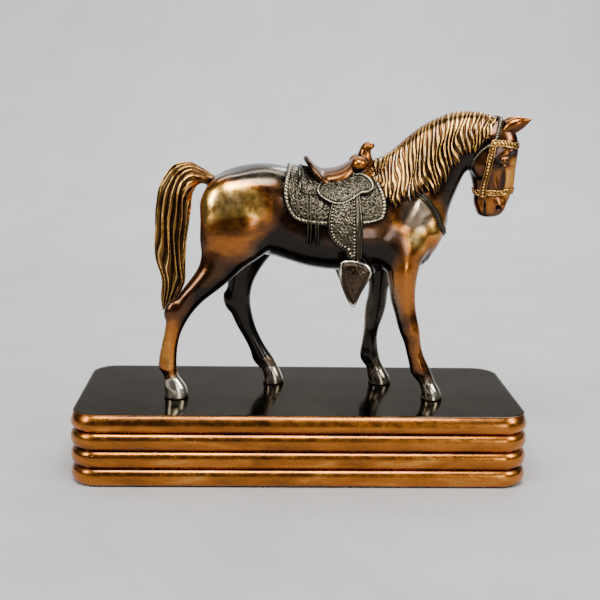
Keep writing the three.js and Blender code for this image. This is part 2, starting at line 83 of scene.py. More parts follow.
class Loft:
    """A smooth solid through oval slices, each [start x, z, end x, z, half width, y].

    dome is how far the first and last slices are rounded off. egg narrows the slices
    towards their end point, and power above 2 squares them.
    """

    def __init__(self, slices, dome=(0, 0), egg=0.0, power=2.0, count=44):
        rows = smooth_rows(slices, count)
        along = rows[:, 2:4] - rows[:, 0:2]
        self.reach = np.linalg.norm(along, axis=1) / 2
        self.up = along / (2 * self.reach[:, None])
        self.centre = (rows[:, 0:2] + rows[:, 2:4]) / 2
        self.half = np.maximum(rows[:, 4], 0.2)
        self.y = rows[:, 5]
        self.ahead = np.stack([self.up[:, 1], -self.up[:, 0]], 1)
        travel = np.gradient(self.centre, axis=0)
        if (self.ahead * travel).sum() < 0:
            self.ahead = -self.ahead
        self.round_off(dome)
        travel = np.gradient(self.centre, axis=0)
        length = np.maximum(np.linalg.norm(travel, axis=1), 1e-6)
        self.slant = np.clip((travel * self.ahead).sum(1) / length, 0.5, 1)
        self.egg, self.power = egg, power
        reach = max(self.reach.max(), self.half.max()) + 6
        self.low = np.array([*self.centre.min(0), self.y.min()]) - reach
        self.high = np.array([*self.centre.max(0), self.y.max()]) + reach

    def round_off(self, dome):
        for end, length in zip((0, -1), dome):
            if not length:
                continue
            turn = np.radians([22, 42, 60, 75, 87])
            sign = -1 if end == 0 else 1
            step = sign * length * np.sin(turn)[:, None] * self.ahead[end]
            extra = {
                "centre": self.centre[end] + step,
                "reach": self.reach[end] * np.cos(turn),
                "half": self.half[end] * np.cos(turn),
                "y": np.full(5, self.y[end]),
                "up": np.repeat(self.up[end][None], 5, 0),
                "ahead": np.repeat(self.ahead[end][None], 5, 0),
            }
            for name, rows in extra.items():
                parts = (rows[::-1], getattr(self, name)) if end == 0 else (getattr(self, name), rows)
                setattr(self, name, np.concatenate(parts))

    def __call__(self, points):
        out = np.full(len(points), FAR_AWAY)
        flat = points[:, [0, 2, 1]]
        near = np.nonzero(((flat > self.low) & (flat < self.high)).all(1))[0]
        q = flat[near]
        if not len(q):
            return out
        best = np.full(len(q), FAR_AWAY)
        before = (q[:, :2] - self.centre[0]) @ self.ahead[0]
        first = before < 0
        best[first] = self.beyond(q[first], 0, -before[first])
        for j in range(len(self.centre) - 1):
            after = (q[:, :2] - self.centre[j + 1]) @ self.ahead[j + 1]
            inside = np.nonzero((before >= 0) & (after < 0))[0]
            if len(inside):
                t = before[inside] / (before[inside] - after[inside])
                best[inside] = np.minimum(best[inside], self.slice_distance(q[inside], j, t))
            before = after
        last = before >= 0
        best[last] = np.minimum(best[last], self.beyond(q[last], -1, before[last]))
        out[near] = best
        return out

    def slice_distance(self, q, j, t):
        """The distance in the slices at t of the way from slice j to the next."""

        def mix(values):
            step = values[j + 1] - values[j]
            return values[j] + step * (t[:, None] if values.ndim == 2 else t)

        shape = [mix(v) for v in (self.centre, self.up, self.reach, self.half, self.y)]
        return self.oval(q, *shape) * mix(self.slant)

    def oval(self, q, centre, up, reach, half, y):
        u = ((q[:, :2] - centre) * up).sum(1)
        v = q[:, 2] - y
        half = half * (1 - self.egg * np.clip(u / reach, -1, 1))
        n = self.power
        a, b = np.abs(u / reach), np.abs(v / half)
        r = np.maximum((a**n + b**n) ** (1 / n), 1e-4)
        slope = np.hypot((a / r) ** (n - 1) / reach, (b / r) ** (n - 1) / half)
        return (r - 1) / np.maximum(slope, 1e-4)

    def beyond(self, q, end, ahead):
        d = self.oval(q, self.centre[end], self.up[end], self.reach[end], self.half[end], self.y[end])
        return np.where(d > 0, np.hypot(d, ahead), np.maximum(d, ahead))


class Ball:
    """An ellipsoid turned in the side view."""

    def __init__(self, x, z, y, radii, turn=0.0):
        self.at = np.array([x, y, z])
        self.radii = np.array(radii, float)
        c, s = math.cos(math.radians(turn)), math.sin(math.radians(turn))
        self.axes = np.array([[c, 0, s], [0, 1, 0], [-s, 0, c]])
        self.reach = self.radii.max() + 8

    def __call__(self, points):
        out = np.full(len(points), FAR_AWAY)
        offset = points - self.at
        near = np.nonzero((np.abs(offset) < self.reach).all(1))[0]
        local = offset[near] @ self.axes.T / self.radii
        r = np.maximum(np.linalg.norm(local, axis=1), 1e-4)
        out[near] = (r - 1) * r / np.maximum(np.linalg.norm(local / self.radii, axis=1), 1e-4)
        return out


def union(a, b, blend):
    h = np.clip(0.5 + 0.5 * (b - a) / blend, 0, 1)
    return b + (a - b) * h - blend * h * (1 - h)


def carve(a, b, blend):
    return -union(-a, b, blend)


# ---------------------------------------------------------------- the horse's shape

# Upright slices from tail to chest: [x, belly height, back height, half width]
TORSO = [
    [-55, 137, 152, 8],
    [-53.6, 125, 160.5, 15],
    [-47, 119, 167, 20],
    [-36, 119.8, 171.6, 21.5],
    [-22, 121.8, 173.4, 21.5],
    [-8, 120, 171.8, 21],
    [8, 116.2, 167.4, 21.8],
    [24, 114.2, 167, 21.8],
    [40, 112.6, 170, 20],
    [54, 112.3, 169, 17.5],
    [66, 114.8, 163, 14.5],
    [75, 121.5, 157, 11],
    [79.5, 133, 149, 6],
]

# Slices of the neck from withers to poll: [throat x, z, crest x, z, half width]
NECK = [
    [62, 124, 34, 160, 11],
    [76, 137, 41, 172, 14],
    [83.6, 148, 51, 180, 12.5],
    [86.8, 156, 62, 190.2, 11],
    [89.6, 163.4, 74, 197.9, 9.8],
    [93.2, 170.4, 87, 202.7, 8.8],
    [99, 174, 99, 202.8, 7.6],
    [107, 178, 107, 199.5, 6],
]

# Slices of the head from poll to lips: [jaw x, z, face x, z, half width]
HEAD = [
    [104, 197, 114.5, 199, 4.6],
    [99, 189, 120, 193.5, 7.6],
    [95.6, 180, 122.4, 185.4, 9],
    [95, 172.5, 122, 177, 8.6],
    [96.8, 165.5, 120.9, 169, 7.2],
    [98.2, 158.6, 120, 161.5, 6.1],
    [98.6, 152.6, 118.3, 154.4, 5.8],
    [100.4, 147.6, 115.6, 148.4, 5.2],
]

# Level slices of each leg from the top down: [height, back, front, half width, offset from
# the middle plane]. The last one is the sole.
LEGS = {
    "foreleg_near": (NEAR, [
        [142, 46, 70, 4, 11],
        [130, 44, 71, 7, 12.5],
        [118, 47.6, 67, 7.5, 14],
        [108, 49.6, 65.2, 6.6, 15],
        [99, 51, 65, 5.6, 15.6],
        [91, 53.5, 65.9, 4.9, 16],
        [85.5, 55, 67.2, 5, 16],
        [80, 56.8, 68.3, 5.1, 16],
        [74.5, 59.2, 68.9, 4.2, 16],
        [67, 61.3, 70.8, 3.8, 16],
        [61, 62.9, 73.6, 4.2, 16],
        [56.5, 63.9, 75.7, 4.5, 16],
        [52.4, 67, 77.4, 4, 16],
        [49, 69.6, 79.2, 4.5, 16],
        [47.4, 69.8, 80.4, 5.4, 16],
        [44, 70.4, 82, 5.7, 16],
    ]),
    "foreleg_far": (FAR, [
        [142, 36, 60, 4, 11],
        [130, 36, 60, 7, 12.5],
        [118, 38, 57, 7.5, 14],
        [107, 41, 53.6, 6.5, 15],
        [97, 41.2, 52.8, 5.4, 15.6],
        [88, 39.8, 51.9, 4.8, 16],
        [82, 39.4, 50.4, 5, 16],
        [77, 39.4, 48.6, 5, 16],
        [71, 38.9, 47.5, 4.2, 16],
        [64, 38, 47.8, 3.9, 16],
        [59, 37.3, 48.6, 4.4, 16],
        [55.4, 38.2, 49.6, 4.4, 16],
        [51.8, 41, 51.3, 4, 16],
        [49, 42.2, 53, 4.5, 16],
        [47, 42, 54.4, 5.3, 16],
        [44, 43, 55.8, 5.7, 16],
    ]),
    "hindleg_near": (NEAR, [
        [156, -50, -28, 4, 12.5],
        [144, -55.6, -20, 8, 13.5],
        [132, -56.8, -16.5, 9.6, 14],
        [124, -56, -21.5, 9.2, 14.5],
        [117, -57.4, -31, 7.8, 15],
        [110, -61.6, -39, 6.6, 15.6],
        [103, -67, -47.4, 5.6, 16],
        [96.5, -71.6, -55.4, 4.9, 16],
        [91, -75, -60.4, 4.7, 16],
        [86, -75.7, -63.8, 4.5, 16],
        [79, -76.8, -67.3, 3.9, 16],
        [70, -78.8, -69.4, 3.7, 16],
        [63, -80, -69.9, 4.1, 16],
        [58, -80, -69.9, 4.6, 16],
        [54.4, -77.6, -69.4, 4.1, 16],
        [51.2, -76.6, -67.2, 4.1, 16],
        [48.8, -77.2, -65.2, 5.1, 16],
        [45, -76.8, -63.8, 5.6, 16],
    ]),
    "hindleg_far": (FAR, [
        [156, -44, -22, 4, 12.5],
        [144, -50, -14, 8, 13.5],
        [132, -50, -11, 9.4, 14],
        [122, -46.6, -14.6, 8.6, 14.5],
        [112, -42.6, -21.8, 6.8, 15.4],
        [103, -42, -26.6, 5.6, 16],
        [96, -42.6, -28.4, 4.8, 16],
        [90.6, -42.6, -28.6, 4.7, 16],
        [85, -40.6, -27.9, 4.4, 16],
        [76, -36.6, -25.6, 3.8, 16],
        [67, -31.4, -21.6, 3.7, 16],
        [60, -28.2, -17.4, 4.2, 16],
        [55.6, -27, -14.2, 4.6, 16],
        [51.6, -24.2, -12.2, 4.2, 16],
        [48.6, -20.9, -10.6, 4.8, 16],
        [44.6, -20.4, -8.7, 5.5, 16],
    ]),
}
SOLE_GROW = 0.6  # how far a hoof spreads from its last slice to the ground
NECK_BLEND, LEG_BLEND, HEAD_BLEND = 7, 4, 2.5  # widths over which the shapes run together

# Muscles and bones on both sides: [x, z, y, (half sizes along, across, up), turn, blend]
MUSCLES = [
    [-38, 150, 11.5, (19, 10.5, 18), 10, 6],
    [-36, 136, 12.6, (15.5, 9.8, 16.5), -20, 6],
    [-20, 158, 9, (16, 10, 12), -8, 8],
    [59, 145, 10.5, (9, 7, 21), -28, 5],
    [70, 135.5, 9, (8.5, 7, 9), 0, 5],
    [56, 127, 12, (11, 7, 10), 20, 6],
    [73.5, 139, 3.5, (8, 7.5, 15), -14, 5],
    [20, 132, 10, (34, 12, 14), 0, 10],
]
HEAD_MUSCLES = [
    [102, 175.5, 5.4, (7.2, 4.3, 8.5), 10, 2],
    [114.2, 181.6, 6.6, (5, 2.6, 1.7), 26, 1.4],
    [108.4, 167.6, 6.3, (1.3, 1.4, 8.5), 12, 1.2],
    [112.4, 152, 3.2, (3.6, 2.8, 4.2), 10, 2],
    [103.6, 150.4, 1.8, (2.8, 3.6, 4), 0, 1.8],
    [119, 170, 1.6, (1.6, 2, 11), 3, 2],
]
EYELIDS = [
    [113.2, 178.5, 8.4, (3.3, 1.3, 0.9), 16, 0.5],
    [112.9, 174.8, 8.1, (2.9, 1.2, 0.8), 6, 0.5],
]


def leg_loft(side, rows):
    slices = [[back, z, front, z, half, side * y] for z, back, front, half, y in rows]
    z, back, front, half, y = rows[-1]
    slices.append([
        back - SOLE_GROW / 2, PLINTH_TOP, front + SOLE_GROW, PLINTH_TOP, half + SOLE_GROW, side * y,
    ])
    return Loft(slices, dome=(8, 0), egg=0.04)


def mirrored(rows):
    """Each row as a ball on both sides."""
    for x, z, y, radii, turn, blend in rows:
        for side in (NEAR, FAR):
            yield Ball(x, z, side * y, radii, turn), blend


torso = Loft([[x, low, x, high, half, 0] for x, low, high, half in TORSO], dome=(2.5, 2.5), egg=0.1)
neck = Loft([[*row, 0] for row in NECK], dome=(6, 2), egg=0.28)
head = Loft([[*row, 0] for row in HEAD], dome=(2.5, 3.4), egg=0.06, power=2.3)
leg_lofts = {name: leg_loft(side, rows) for name, (side, rows) in LEGS.items()}
muscles = list(mirrored(MUSCLES))
head_muscles = list(mirrored(HEAD_MUSCLES))
joints = [
    (Ball(-73.6, 92.5, -16, (2.2, 2.6, 5), -24), 4),
    (Ball(-41.8, 91, 16, (2.2, 2.6, 5), 16), 4),
    (Ball(50.2, 110, 15.5, (5, 5, 9), 8), 3),
]
eyelids = list(mirrored(EYELIDS))
eyes = [Ball(113.2, 176.7, side * 7.9, (2.5, 1.7, 1.45), 12) for side in (NEAR, FAR)]
sockets = [Ball(113, 176.8, side * 9.9, (3.9, 1.9, 2.4), 12) for side in (NEAR, FAR)]
nostrils = [Ball(112, 150.4, side * 6, (1.1, 2, 1.9), 40) for side in (NEAR, FAR)]
mouth = [Ball(104, 149.8, side * 6, (0.4, 3.2, 5.2), 4) for side in (NEAR, FAR)]


def head_form(points):
    """Distance to the head without its eyes, nostrils and mouth."""
    d = head(points)
    for ball, blend in head_muscles:
        d = union(d, ball(points), blend)
    return d


def head_distance(points):
    d = head_form(points)
    for ball in sockets:
        d = carve(d, ball(points), 1.2)
    for ball, blend in eyelids:
        d = union(d, ball(points), blend)
    for ball in eyes:
        d = union(d, ball(points), 0.45)
    for ball in nostrils + mouth:
        d = carve(d, ball(points), 0.6)
    return d


def barrel_distance(points):
    """Distance to the body that the tack lies on, without its legs."""
    d = union(torso(points), neck(points), NECK_BLEND)
    for ball, blend in muscles:
        d = union(d, ball(points), blend)
    return d


def horse_distance(points):
    """Distance to the horse's skin, below zero inside."""
    legs = np.full(len(points), FAR_AWAY)
    for loft in leg_lofts.values():
        legs = np.minimum(legs, loft(points))
    for ball, blend in joints:
        legs = union(legs, ball(points), blend)
    d = union(barrel_distance(points), legs, LEG_BLEND)
    return union(d, head_distance(points), HEAD_BLEND)


# ---------------------------------------------------------------- meshes from fields


def in_chunks(field, points, size=200_000):
    return np.concatenate([field(points[i : i + size]) for i in range(0, len(points), size)])


def gradient(field, points, eps=0.08):
    steps = np.eye(3) * eps
    return np.stack(
        [in_chunks(field, points + s) - in_chunks(field, points - s) for s in steps], 1
    ) / (2 * eps)


def project(field, points, lift=0.0, rounds=3, reach=1.5):
    """Moves points along the field's slope until they lie at the distance lift."""
    points = points.copy()
    for _ in range(rounds):
        slope = gradient(field, points)
        size = np.maximum((slope**2).sum(1), 1e-3)
        step = (in_chunks(field, points) - lift)[:, None] * slope / size[:, None]
        length = np.linalg.norm(step, axis=1, keepdims=True)
        points -= step * np.minimum(1, reach / np.maximum(length, 1e-9))
    return points


def unit(vectors):
    return vectors / np.maximum(np.linalg.norm(vectors, axis=1, keepdims=True), 1e-9)


def contour(field, low, high, step, coarse=4):
    """Vertices and quads of a field's zero level, with the field read only near it."""
    axes = [np.arange(a, b + step * coarse, step * coarse) for a, b in zip(low, high)]
    rough_points = np.stack(np.meshgrid(*axes, indexing="ij"), -1)
    shape = rough_points.shape[:3]
    rough = in_chunks(field, rough_points.reshape(-1, 3)).reshape(shape)
    values = rough
    for axis in range(3):
        values = np.repeat(values, coarse, axis)
    near = np.abs(values) < step * coarse * 1.9
    origin = np.array([axis[0] for axis in axes])
    fine_points = np.argwhere(near) * step + origin
    values = np.clip(values, -step * 3, step * 3)
    values[near] = in_chunks(field, fine_points)
    grid = openvdb.FloatGrid(step * 3)
    grid.copyFromArray(values.astype(np.float32))
    points, quads = grid.convertToQuads(isovalue=0.0)
    return points.astype(float) * step + origin, quads.astype(int)


def relax(field, points, quads, rounds=3):
    """Evens out a mesh on its own surface."""
    pairs = np.concatenate([quads[:, [i, (i + 1) % 4]] for i in range(4)])
    pairs = np.concatenate([pairs, pairs[:, ::-1]])
    count = np.bincount(pairs[:, 0], minlength=len(points))[:, None]
    for _ in range(rounds):
        sums = np.stack(
            [np.bincount(pairs[:, 0], points[pairs[:, 1], k], len(points)) for k in range(3)], 1
        )
        points = project(field, points * 0.4 + 0.6 * sums / count, rounds=1)
    return project(field, points, rounds=1)


def mesh_object(name, points, faces, attributes=None):
    """A smooth mesh piece from points in millimetres and one or more arrays of equal faces."""
    faces = [faces] if isinstance(faces, np.ndarray) else faces
    mesh = bpy.data.meshes.new(name)
    mesh.vertices.add(len(points))
    mesh.vertices.foreach_set("co", (np.asarray(points) * MM).astype(np.float32).ravel())
    corners = np.concatenate([f.ravel() for f in faces]).astype(np.int32)
    sizes = np.concatenate([np.full(len(f), f.shape[1]) for f in faces])
    mesh.loops.add(len(corners))
    mesh.loops.foreach_set("vertex_index", corners)
    mesh.polygons.add(len(sizes))
    mesh.polygons.foreach_set("loop_start", np.r_[0, np.cumsum(sizes)[:-1]].astype(np.int32))
    mesh.update(calc_edges=True)
    mesh.validate()
    mesh.shade_smooth()
    for key, values in (attributes or {}).items():
        layer = mesh.attributes.new(key, "FLOAT", "POINT")
        layer.data.foreach_set("value", np.asarray(values, np.float32))
    made = bpy.data.objects.new(name, mesh)
    bpy.context.collection.objects.link(made)
    return made


def finish_piece(made, material, slot, *nodes):
    """Gives a piece its material and its body, and hides the CAD nodes it stands for; its slot is not
    used.
    """
    made.data.materials.append(material)
    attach(made, "root")
    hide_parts(*nodes)


def grid_faces(rows, columns, around=False, first=0):
    """Quads of a grid of points, which may close round on itself across its columns."""
    r = np.arange(rows - 1)[:, None] * columns
    c = np.arange(columns if around else columns - 1)[None]
    after = (c + 1) % columns
    quads = np.stack([r + c, r + after, r + columns + after, r + columns + c], -1)
    return quads.reshape(-1, 4) + first


def rings_object(name, rings, attributes=None):
    """A closed tube through rings of points, with a fan over each end."""
    rings = np.asarray(rings, float)
    rows, columns = rings.shape[:2]
    points = rings.reshape(-1, 3)
    ends = np.stack([rings[0].mean(0), rings[-1].mean(0)])
    here = np.arange(columns)
    after = (here + 1) % columns
    last = (rows - 1) * columns
    start_fan = np.stack([after, here, np.full(columns, len(points))], 1)
    end_fan = np.stack([last + here, last + after, np.full(columns, len(points) + 1)], 1)
    faces = [grid_faces(rows, columns, around=True), np.concatenate([start_fan, end_fan])]
    padded = {
        key: np.r_[np.ravel(values), np.ravel(values)[0], np.ravel(values)[-1]]
        for key, values in (attributes or {}).items()
    }
    return mesh_object(name, np.concatenate([points, ends]), faces, padded)


def hollowness(field, points, normals, reaches=(1.0, 2.5, 5.0)):
    """How enclosed each point is, from 0 on an open bulge to 1 in a deep fold."""
    closed = sum(
        np.clip(1 - in_chunks(field, points + normals * r) / r, 0, 1) for r in reaches
    )
    return closed / len(reaches)


# ---------------------------------------------------------------- materials


class Paint:
    """A procedural material, with short ways to add and join its nodes."""

    def __init__(self, name, metallic=1.0, coat=0.0, coat_roughness=0.1):
        self.material = bpy.data.materials.new(name)
        self.material.use_nodes = True
        self.tree = self.material.node_tree
        self.shader = self.tree.nodes["Principled BSDF"]
        self.shader.inputs["Metallic"].default_value = metallic
        self.shader.inputs["Coat Weight"].default_value = coat
        self.shader.inputs["Coat Roughness"].default_value = coat_roughness
        self.place = self.node("ShaderNodeTexCoord").outputs["Object"]

    def node(self, kind, inputs=(), **settings):
        made = self.tree.nodes.new(kind)
        for key, value in settings.items():
            setattr(made, key, value)
        for key, value in dict(inputs).items():
            if isinstance(value, bpy.types.NodeSocket):
                self.tree.links.new(value, made.inputs[key])
            else:
                made.inputs[key].default_value = value
        return made

    def set(self, key, socket):
        self.tree.links.new(socket, self.shader.inputs[key])

    def attribute(self, name):
        return self.node("ShaderNodeAttribute", attribute_name=name).outputs["Fac"]

    def stretched(self, x, y, z):
        """Object coordinates squeezed along each axis, so that noise runs in streaks."""
        inputs = {"Vector": self.place, "Scale": (x, y, z)}
        return self.node("ShaderNodeMapping", inputs).outputs["Vector"]

    def noise(self, size, detail=4.0, place=None, distortion=0.0):
        """Noise with lumps of a size in millimetres."""
        inputs = {
            "Vector": place or self.place, "Scale": 1 / (size * MM), "Detail": detail,
            "Distortion": distortion,
        }
        return self.node("ShaderNodeTexNoise", inputs).outputs["Fac"]

    def math(self, operation, a, b=0.0):
        return self.node("ShaderNodeMath", {0: a, 1: b}, operation=operation).outputs[0]

    def band(self, value, low, high, to_low=0.0, to_high=1.0):
        inputs = {
            "Value": value, "From Min": low, "From Max": high, "To Min": to_low, "To Max": to_high,
        }
        return self.node("ShaderNodeMapRange", inputs).outputs["Result"]

    def ramp(self, value, stops):
        """Colours at places along a value, as {place: (red, green, blue)}."""
        made = self.node("ShaderNodeValToRGB", {"Fac": value})
        elements = made.color_ramp.elements
        for element, (place, colour) in zip(
            [elements[0], elements[1]] + [elements.new(0.5) for _ in range(len(stops) - 2)],
            stops.items(),
        ):
            element.position = place
            element.color = (*colour, 1)
        return made.outputs["Color"]

    def bump(self, height, depth, normal=None):
        """Bumps of a depth in millimetres."""
        inputs = {"Height": height, "Distance": depth * MM}
        if normal:
            inputs["Normal"] = normal
        return self.node("ShaderNodeBump", inputs).outputs["Normal"]


def metal(name, stops, blotch=0.16, gloss=(0.14, 0.28), grain=0.012, coat=0.12, nook=4.0, pale=None):
    """Patinated metal: bright where the attribute for wear and light is high, which holds both wear and
    painted highlights and shade, and dark in its nooks, where painted shade also stands for patina.

    With pale stops, it turns from the first colours to those where the attribute for painted pale
    highlights is high.
    """
    paint = Paint(name, coat=coat)
    wear_and_light = paint.attribute("wear_and_light")
    # Painted shade: ambient occlusion darkens nooks and the gaps between pieces, and stands also for
    # the patina in the hollows.
    nooks = paint.node("ShaderNodeAmbientOcclusion", {"Distance": nook * MM}, samples=6)
    nook_shade_and_patina = paint.band(nooks.outputs["AO"], 0.35, 0.95, -0.42, 0.0)
    tone = paint.math("ADD", wear_and_light, nook_shade_and_patina)
    patches = paint.noise(9, detail=5, distortion=0.6)
    specks = paint.noise(1.1, detail=3)
    streaks = paint.noise(2.2, detail=3, place=paint.stretched(0.25, 0.25, 1.6), distortion=0.4)
    for pattern, share in ((patches, 1.0), (specks, 0.8), (streaks, 0.6)):
        sway = blotch * share / 2
        tone = paint.math("ADD", tone, paint.band(pattern, 0.0, 1.0, -sway, sway))
    colour = paint.ramp(tone, stops)
    if pale:
        inputs = {"Fac": paint.attribute("pale_highlight"), "Color1": colour, "Color2": paint.ramp(tone, pale)}
        colour = paint.node("ShaderNodeMixRGB", inputs).outputs["Color"]
    paint.set("Base Color", colour)
    dull = paint.band(paint.noise(4.5, detail=6), 0.3, 0.7, *gloss)
    dull = paint.math("ADD", dull, paint.band(wear_and_light, 0.0, 0.6, 0.06, 0.0))
    paint.set("Roughness", dull)
    nicks = paint.band(paint.noise(3.5, detail=2, place=paint.stretched(3.5, 3.5, 0.35)), 0.69, 0.72)
    height = paint.math("SUBTRACT", paint.noise(0.55, detail=4), nicks)
    normal = paint.bump(height, grain)
    paint.set("Normal", paint.bump(paint.noise(6, detail=2), grain * 5, normal))
    return paint.material


# Copper from dark patina to bright metal; its pale top stop gives the painted highlights.
COPPER = {
    0.0: (0.012, 0.009, 0.007), 0.2: (0.032, 0.019, 0.011), 0.4: (0.12, 0.044, 0.012),
    0.6: (0.44, 0.145, 0.020), 0.82: (0.95, 0.54, 0.12), 1.0: (1.0, 0.84, 0.52),
}
HAIR = {
    0.0: (0.010, 0.006, 0.004), 0.25: (0.045, 0.022, 0.009), 0.5: (0.19, 0.085, 0.020),
    0.75: (0.66, 0.35, 0.070), 1.0: (1.0, 0.77, 0.30),
}
ANTIQUE = {
    0.0: (0.006, 0.005, 0.003), 0.38: (0.020, 0.016, 0.010), 0.68: (0.085, 0.072, 0.046),
    1.0: (0.78, 0.68, 0.45),
}
BRONZE = {
    0.0: (0.006, 0.005, 0.004), 0.4: (0.020, 0.013, 0.008), 0.68: (0.085, 0.055, 0.032),
    1.0: (0.75, 0.66, 0.48),
}
# Colours of the painted pale highlights, from dark patina to pale gold.
PALE = {
    0.0: (0.010, 0.009, 0.007), 0.3: (0.035, 0.030, 0.022), 0.6: (0.26, 0.23, 0.17),
    1.0: (0.95, 0.90, 0.72),
}


def top_plate_material():
    """The plinth's dark patinated top, with faint smears and a few specks."""
    paint = Paint("plinth_top")
    cloud = paint.noise(26, detail=6, distortion=0.5)
    specks = paint.band(paint.noise(2.4, detail=2), 0.7, 0.74, 0.0, 0.3)
    tone = paint.math("SUBTRACT", cloud, specks)
    paint.set("Base Color", paint.ramp(tone, {0.25: (0.030, 0.026, 0.022), 0.7: (0.060, 0.052, 0.044)}))
    paint.set("Roughness", paint.band(paint.noise(14, detail=6), 0.3, 0.7, 0.09, 0.17))
    paint.set("Normal", paint.bump(paint.noise(11, detail=3), 0.03))
    paint.shader.inputs["Specular Tint"].default_value = (0.53, 0.52, 0.50, 1)
    return paint.material


def rib_material():
    """The plinth's brushed and lacquered copper ribs, nicked, with painted shade in the valleys."""
    paint = Paint("plinth_ribs", coat=0.15)
    wear_and_light = paint.attribute("wear_and_light")
    stain = paint.noise(18, detail=5, place=paint.stretched(0.5, 0.5, 2.2), distortion=0.8)
    brush = paint.noise(0.6, detail=4, place=paint.stretched(0.12, 0.12, 2.0))
    tone = paint.math("ADD", wear_and_light, paint.band(stain, 0.3, 0.7, -0.12, 0.08))
    tone = paint.math("ADD", tone, paint.band(brush, 0.3, 0.7, -0.03, 0.03))
    paint.set("Base Color", paint.ramp(tone, COPPER))
    paint.set("Roughness", paint.band(paint.noise(5, detail=5), 0.3, 0.7, 0.20, 0.33))
    nicks = paint.band(paint.noise(2.6, detail=3), 0.69, 0.73)
    height = paint.math("SUBTRACT", paint.math("MULTIPLY", brush, 0.12), nicks)
    normal = paint.bump(height, 0.05)
    paint.set("Normal", paint.bump(paint.noise(9, detail=2), 0.1, normal))
    return paint.material


def hardboard_material():
    """The bottom board: pressed brown fibres with pale and dark flecks."""
    paint = Paint("hardboard", metallic=0.0)
    fibres = paint.noise(0.9, detail=5, place=paint.stretched(0.4, 1.3, 1.0), distortion=1.4)
    flecks = paint.band(paint.noise(2.2, detail=3), 0.62, 0.72, 0.0, 0.3)
    tone = paint.math("ADD", fibres, flecks)
    stops = {0.3: (0.055, 0.030, 0.016), 0.6: (0.13, 0.075, 0.040), 0.9: (0.24, 0.16, 0.095)}
    paint.set("Base Color", paint.ramp(tone, stops))
    paint.set("Roughness", paint.band(fibres, 0.3, 0.7, 0.55, 0.8))
    paint.set("Normal", paint.bump(fibres, 0.12))
    return paint.material


def felt_material():
    """Green wool felt: matted fibres, lighter where they stand up."""
    paint = Paint("green_felt", metallic=0.0)
    mat = paint.noise(0.5, detail=6, distortion=2.0)
    tufts = paint.noise(3.5, detail=3)
    tone = paint.math("ADD", mat, paint.band(tufts, 0.3, 0.7, -0.1, 0.1))
    stops = {0.3: (0.006, 0.030, 0.014), 0.55: (0.015, 0.070, 0.032), 0.75: (0.040, 0.13, 0.065)}
    paint.set("Base Color", paint.ramp(tone, stops))
    paint.shader.inputs["Sheen Weight"].default_value = 0.4
    paint.set("Roughness", paint.band(mat, 0.3, 0.7, 0.85, 1.0))
    paint.set("Normal", paint.bump(mat, 0.25))
    return paint.material


def steel_material():
    """Zinc-plated steel: brushed grey with dull spots."""
    paint = Paint("screw_steel")
    brush = paint.noise(0.35, detail=4, place=paint.stretched(1.0, 1.0, 0.2))
    spots = paint.noise(1.6, detail=4)
    stops = {0.3: (0.30, 0.29, 0.27), 0.6: (0.48, 0.48, 0.47), 0.8: (0.62, 0.62, 0.60)}
    tone = paint.math("MULTIPLY", spots, paint.math("ADD", brush, 0.6))
    paint.set("Base Color", paint.ramp(tone, stops))
    paint.set("Roughness", paint.band(spots, 0.3, 0.7, 0.22, 0.45))
    paint.set("Normal", paint.bump(brush, 0.02))
    return paint.material


def finish_kept_nodes():
    """The parts under the plinth keep their CAD shapes and get their materials here."""
    steel = steel_material()
    finishes = {"bottom_board": hardboard_material(), "felt_pad": felt_material()}
    for leg in LEGS:
        finishes["screw_" + leg] = steel
        finishes["washer_" + leg] = steel
    for name, material in finishes.items():
        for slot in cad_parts[name].material_slots:
            slot.material = material


# ---------------------------------------------------------------- the plinth

plinth_low, plinth_high = (np.array(corner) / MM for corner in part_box("base_shell"))
PLINTH_CORNER = 16.0
RIBS = 4
RIB_DEPTH = 3.0
WALL = 4.0


def plan_ring(inset, z, arc=14, straight=40):
    """The plinth's outline at one height, as points round its straights and corners."""
    half = plinth_high[:2] - inset
    radius = PLINTH_CORNER - inset
    points = []
    for quarter in range(4):
        sign = np.array([(1, -1, -1, 1)[quarter], (1, 1, -1, -1)[quarter]])
        corner = sign * (half - radius)
        turn = (quarter + np.linspace(0, 1, arc)) * math.pi / 2
        points.extend(corner + radius * np.stack([np.cos(turn), np.sin(turn)], 1))
        following = np.array([(-1, -1, 1, 1)[quarter], (1, -1, -1, 1)[quarter]])
        end_turn = (quarter + 1) * math.pi / 2
        start = points[-1]
        end = following * (half - radius) + radius * np.array([math.cos(end_turn), math.sin(end_turn)])
        points.extend(start + (end - start) * k / straight for k in range(1, straight))
    return np.column_stack([points, np.full(len(points), z)])


def make_plinth():
    low, high = plinth_low[2], plinth_high[2]
    pitch = (high - low) / RIBS
    top_inset = 1.6
    profile = [(RIB_DEPTH + WALL, high - 3), (RIB_DEPTH + WALL, low), (RIB_DEPTH - 0.3, low)]
    for rib in range(RIBS):
        for s in np.sin(np.linspace(-math.pi / 2, math.pi / 2, 17)):
            bulge = (1 - abs(s) ** 2.2) ** 0.55
            profile.append((RIB_DEPTH * (1 - bulge), low + pitch * (rib + 0.5 + s * 0.493)))
    profile = [p for p in profile if p[0] > top_inset or p[1] < high - pitch / 2]
    profile += [(top_inset, high - 0.25), (top_inset + 0.25, high), (top_inset + 2, high)]
    profile += [(PLINTH_CORNER - 0.6, high)]
    rings = [plan_ring(inset, z) for inset, z in profile]
    depth = np.array([inset for inset, z in profile])
    # Painted shade: the ribs darken towards the valleys between them.
    wear_and_light = np.repeat(np.interp(depth, [0, 1.6, 2.7, 3], [0.575, 0.56, 0.40, 0.05]), len(rings[0]))
    made = rings_object("ribbed_plinth", rings, {"wear_and_light": wear_and_light})
    finish_piece(made, rib_material(), "plinth_copper", "base_shell")
    made.data.materials.append(top_plate_material())
    for face in made.data.polygons:
        if face.center.z > (high - 0.01) * MM:
            face.material_index = 1


# ---------------------------------------------------------------- the horse's skin

SKIN_STEP = 0.8
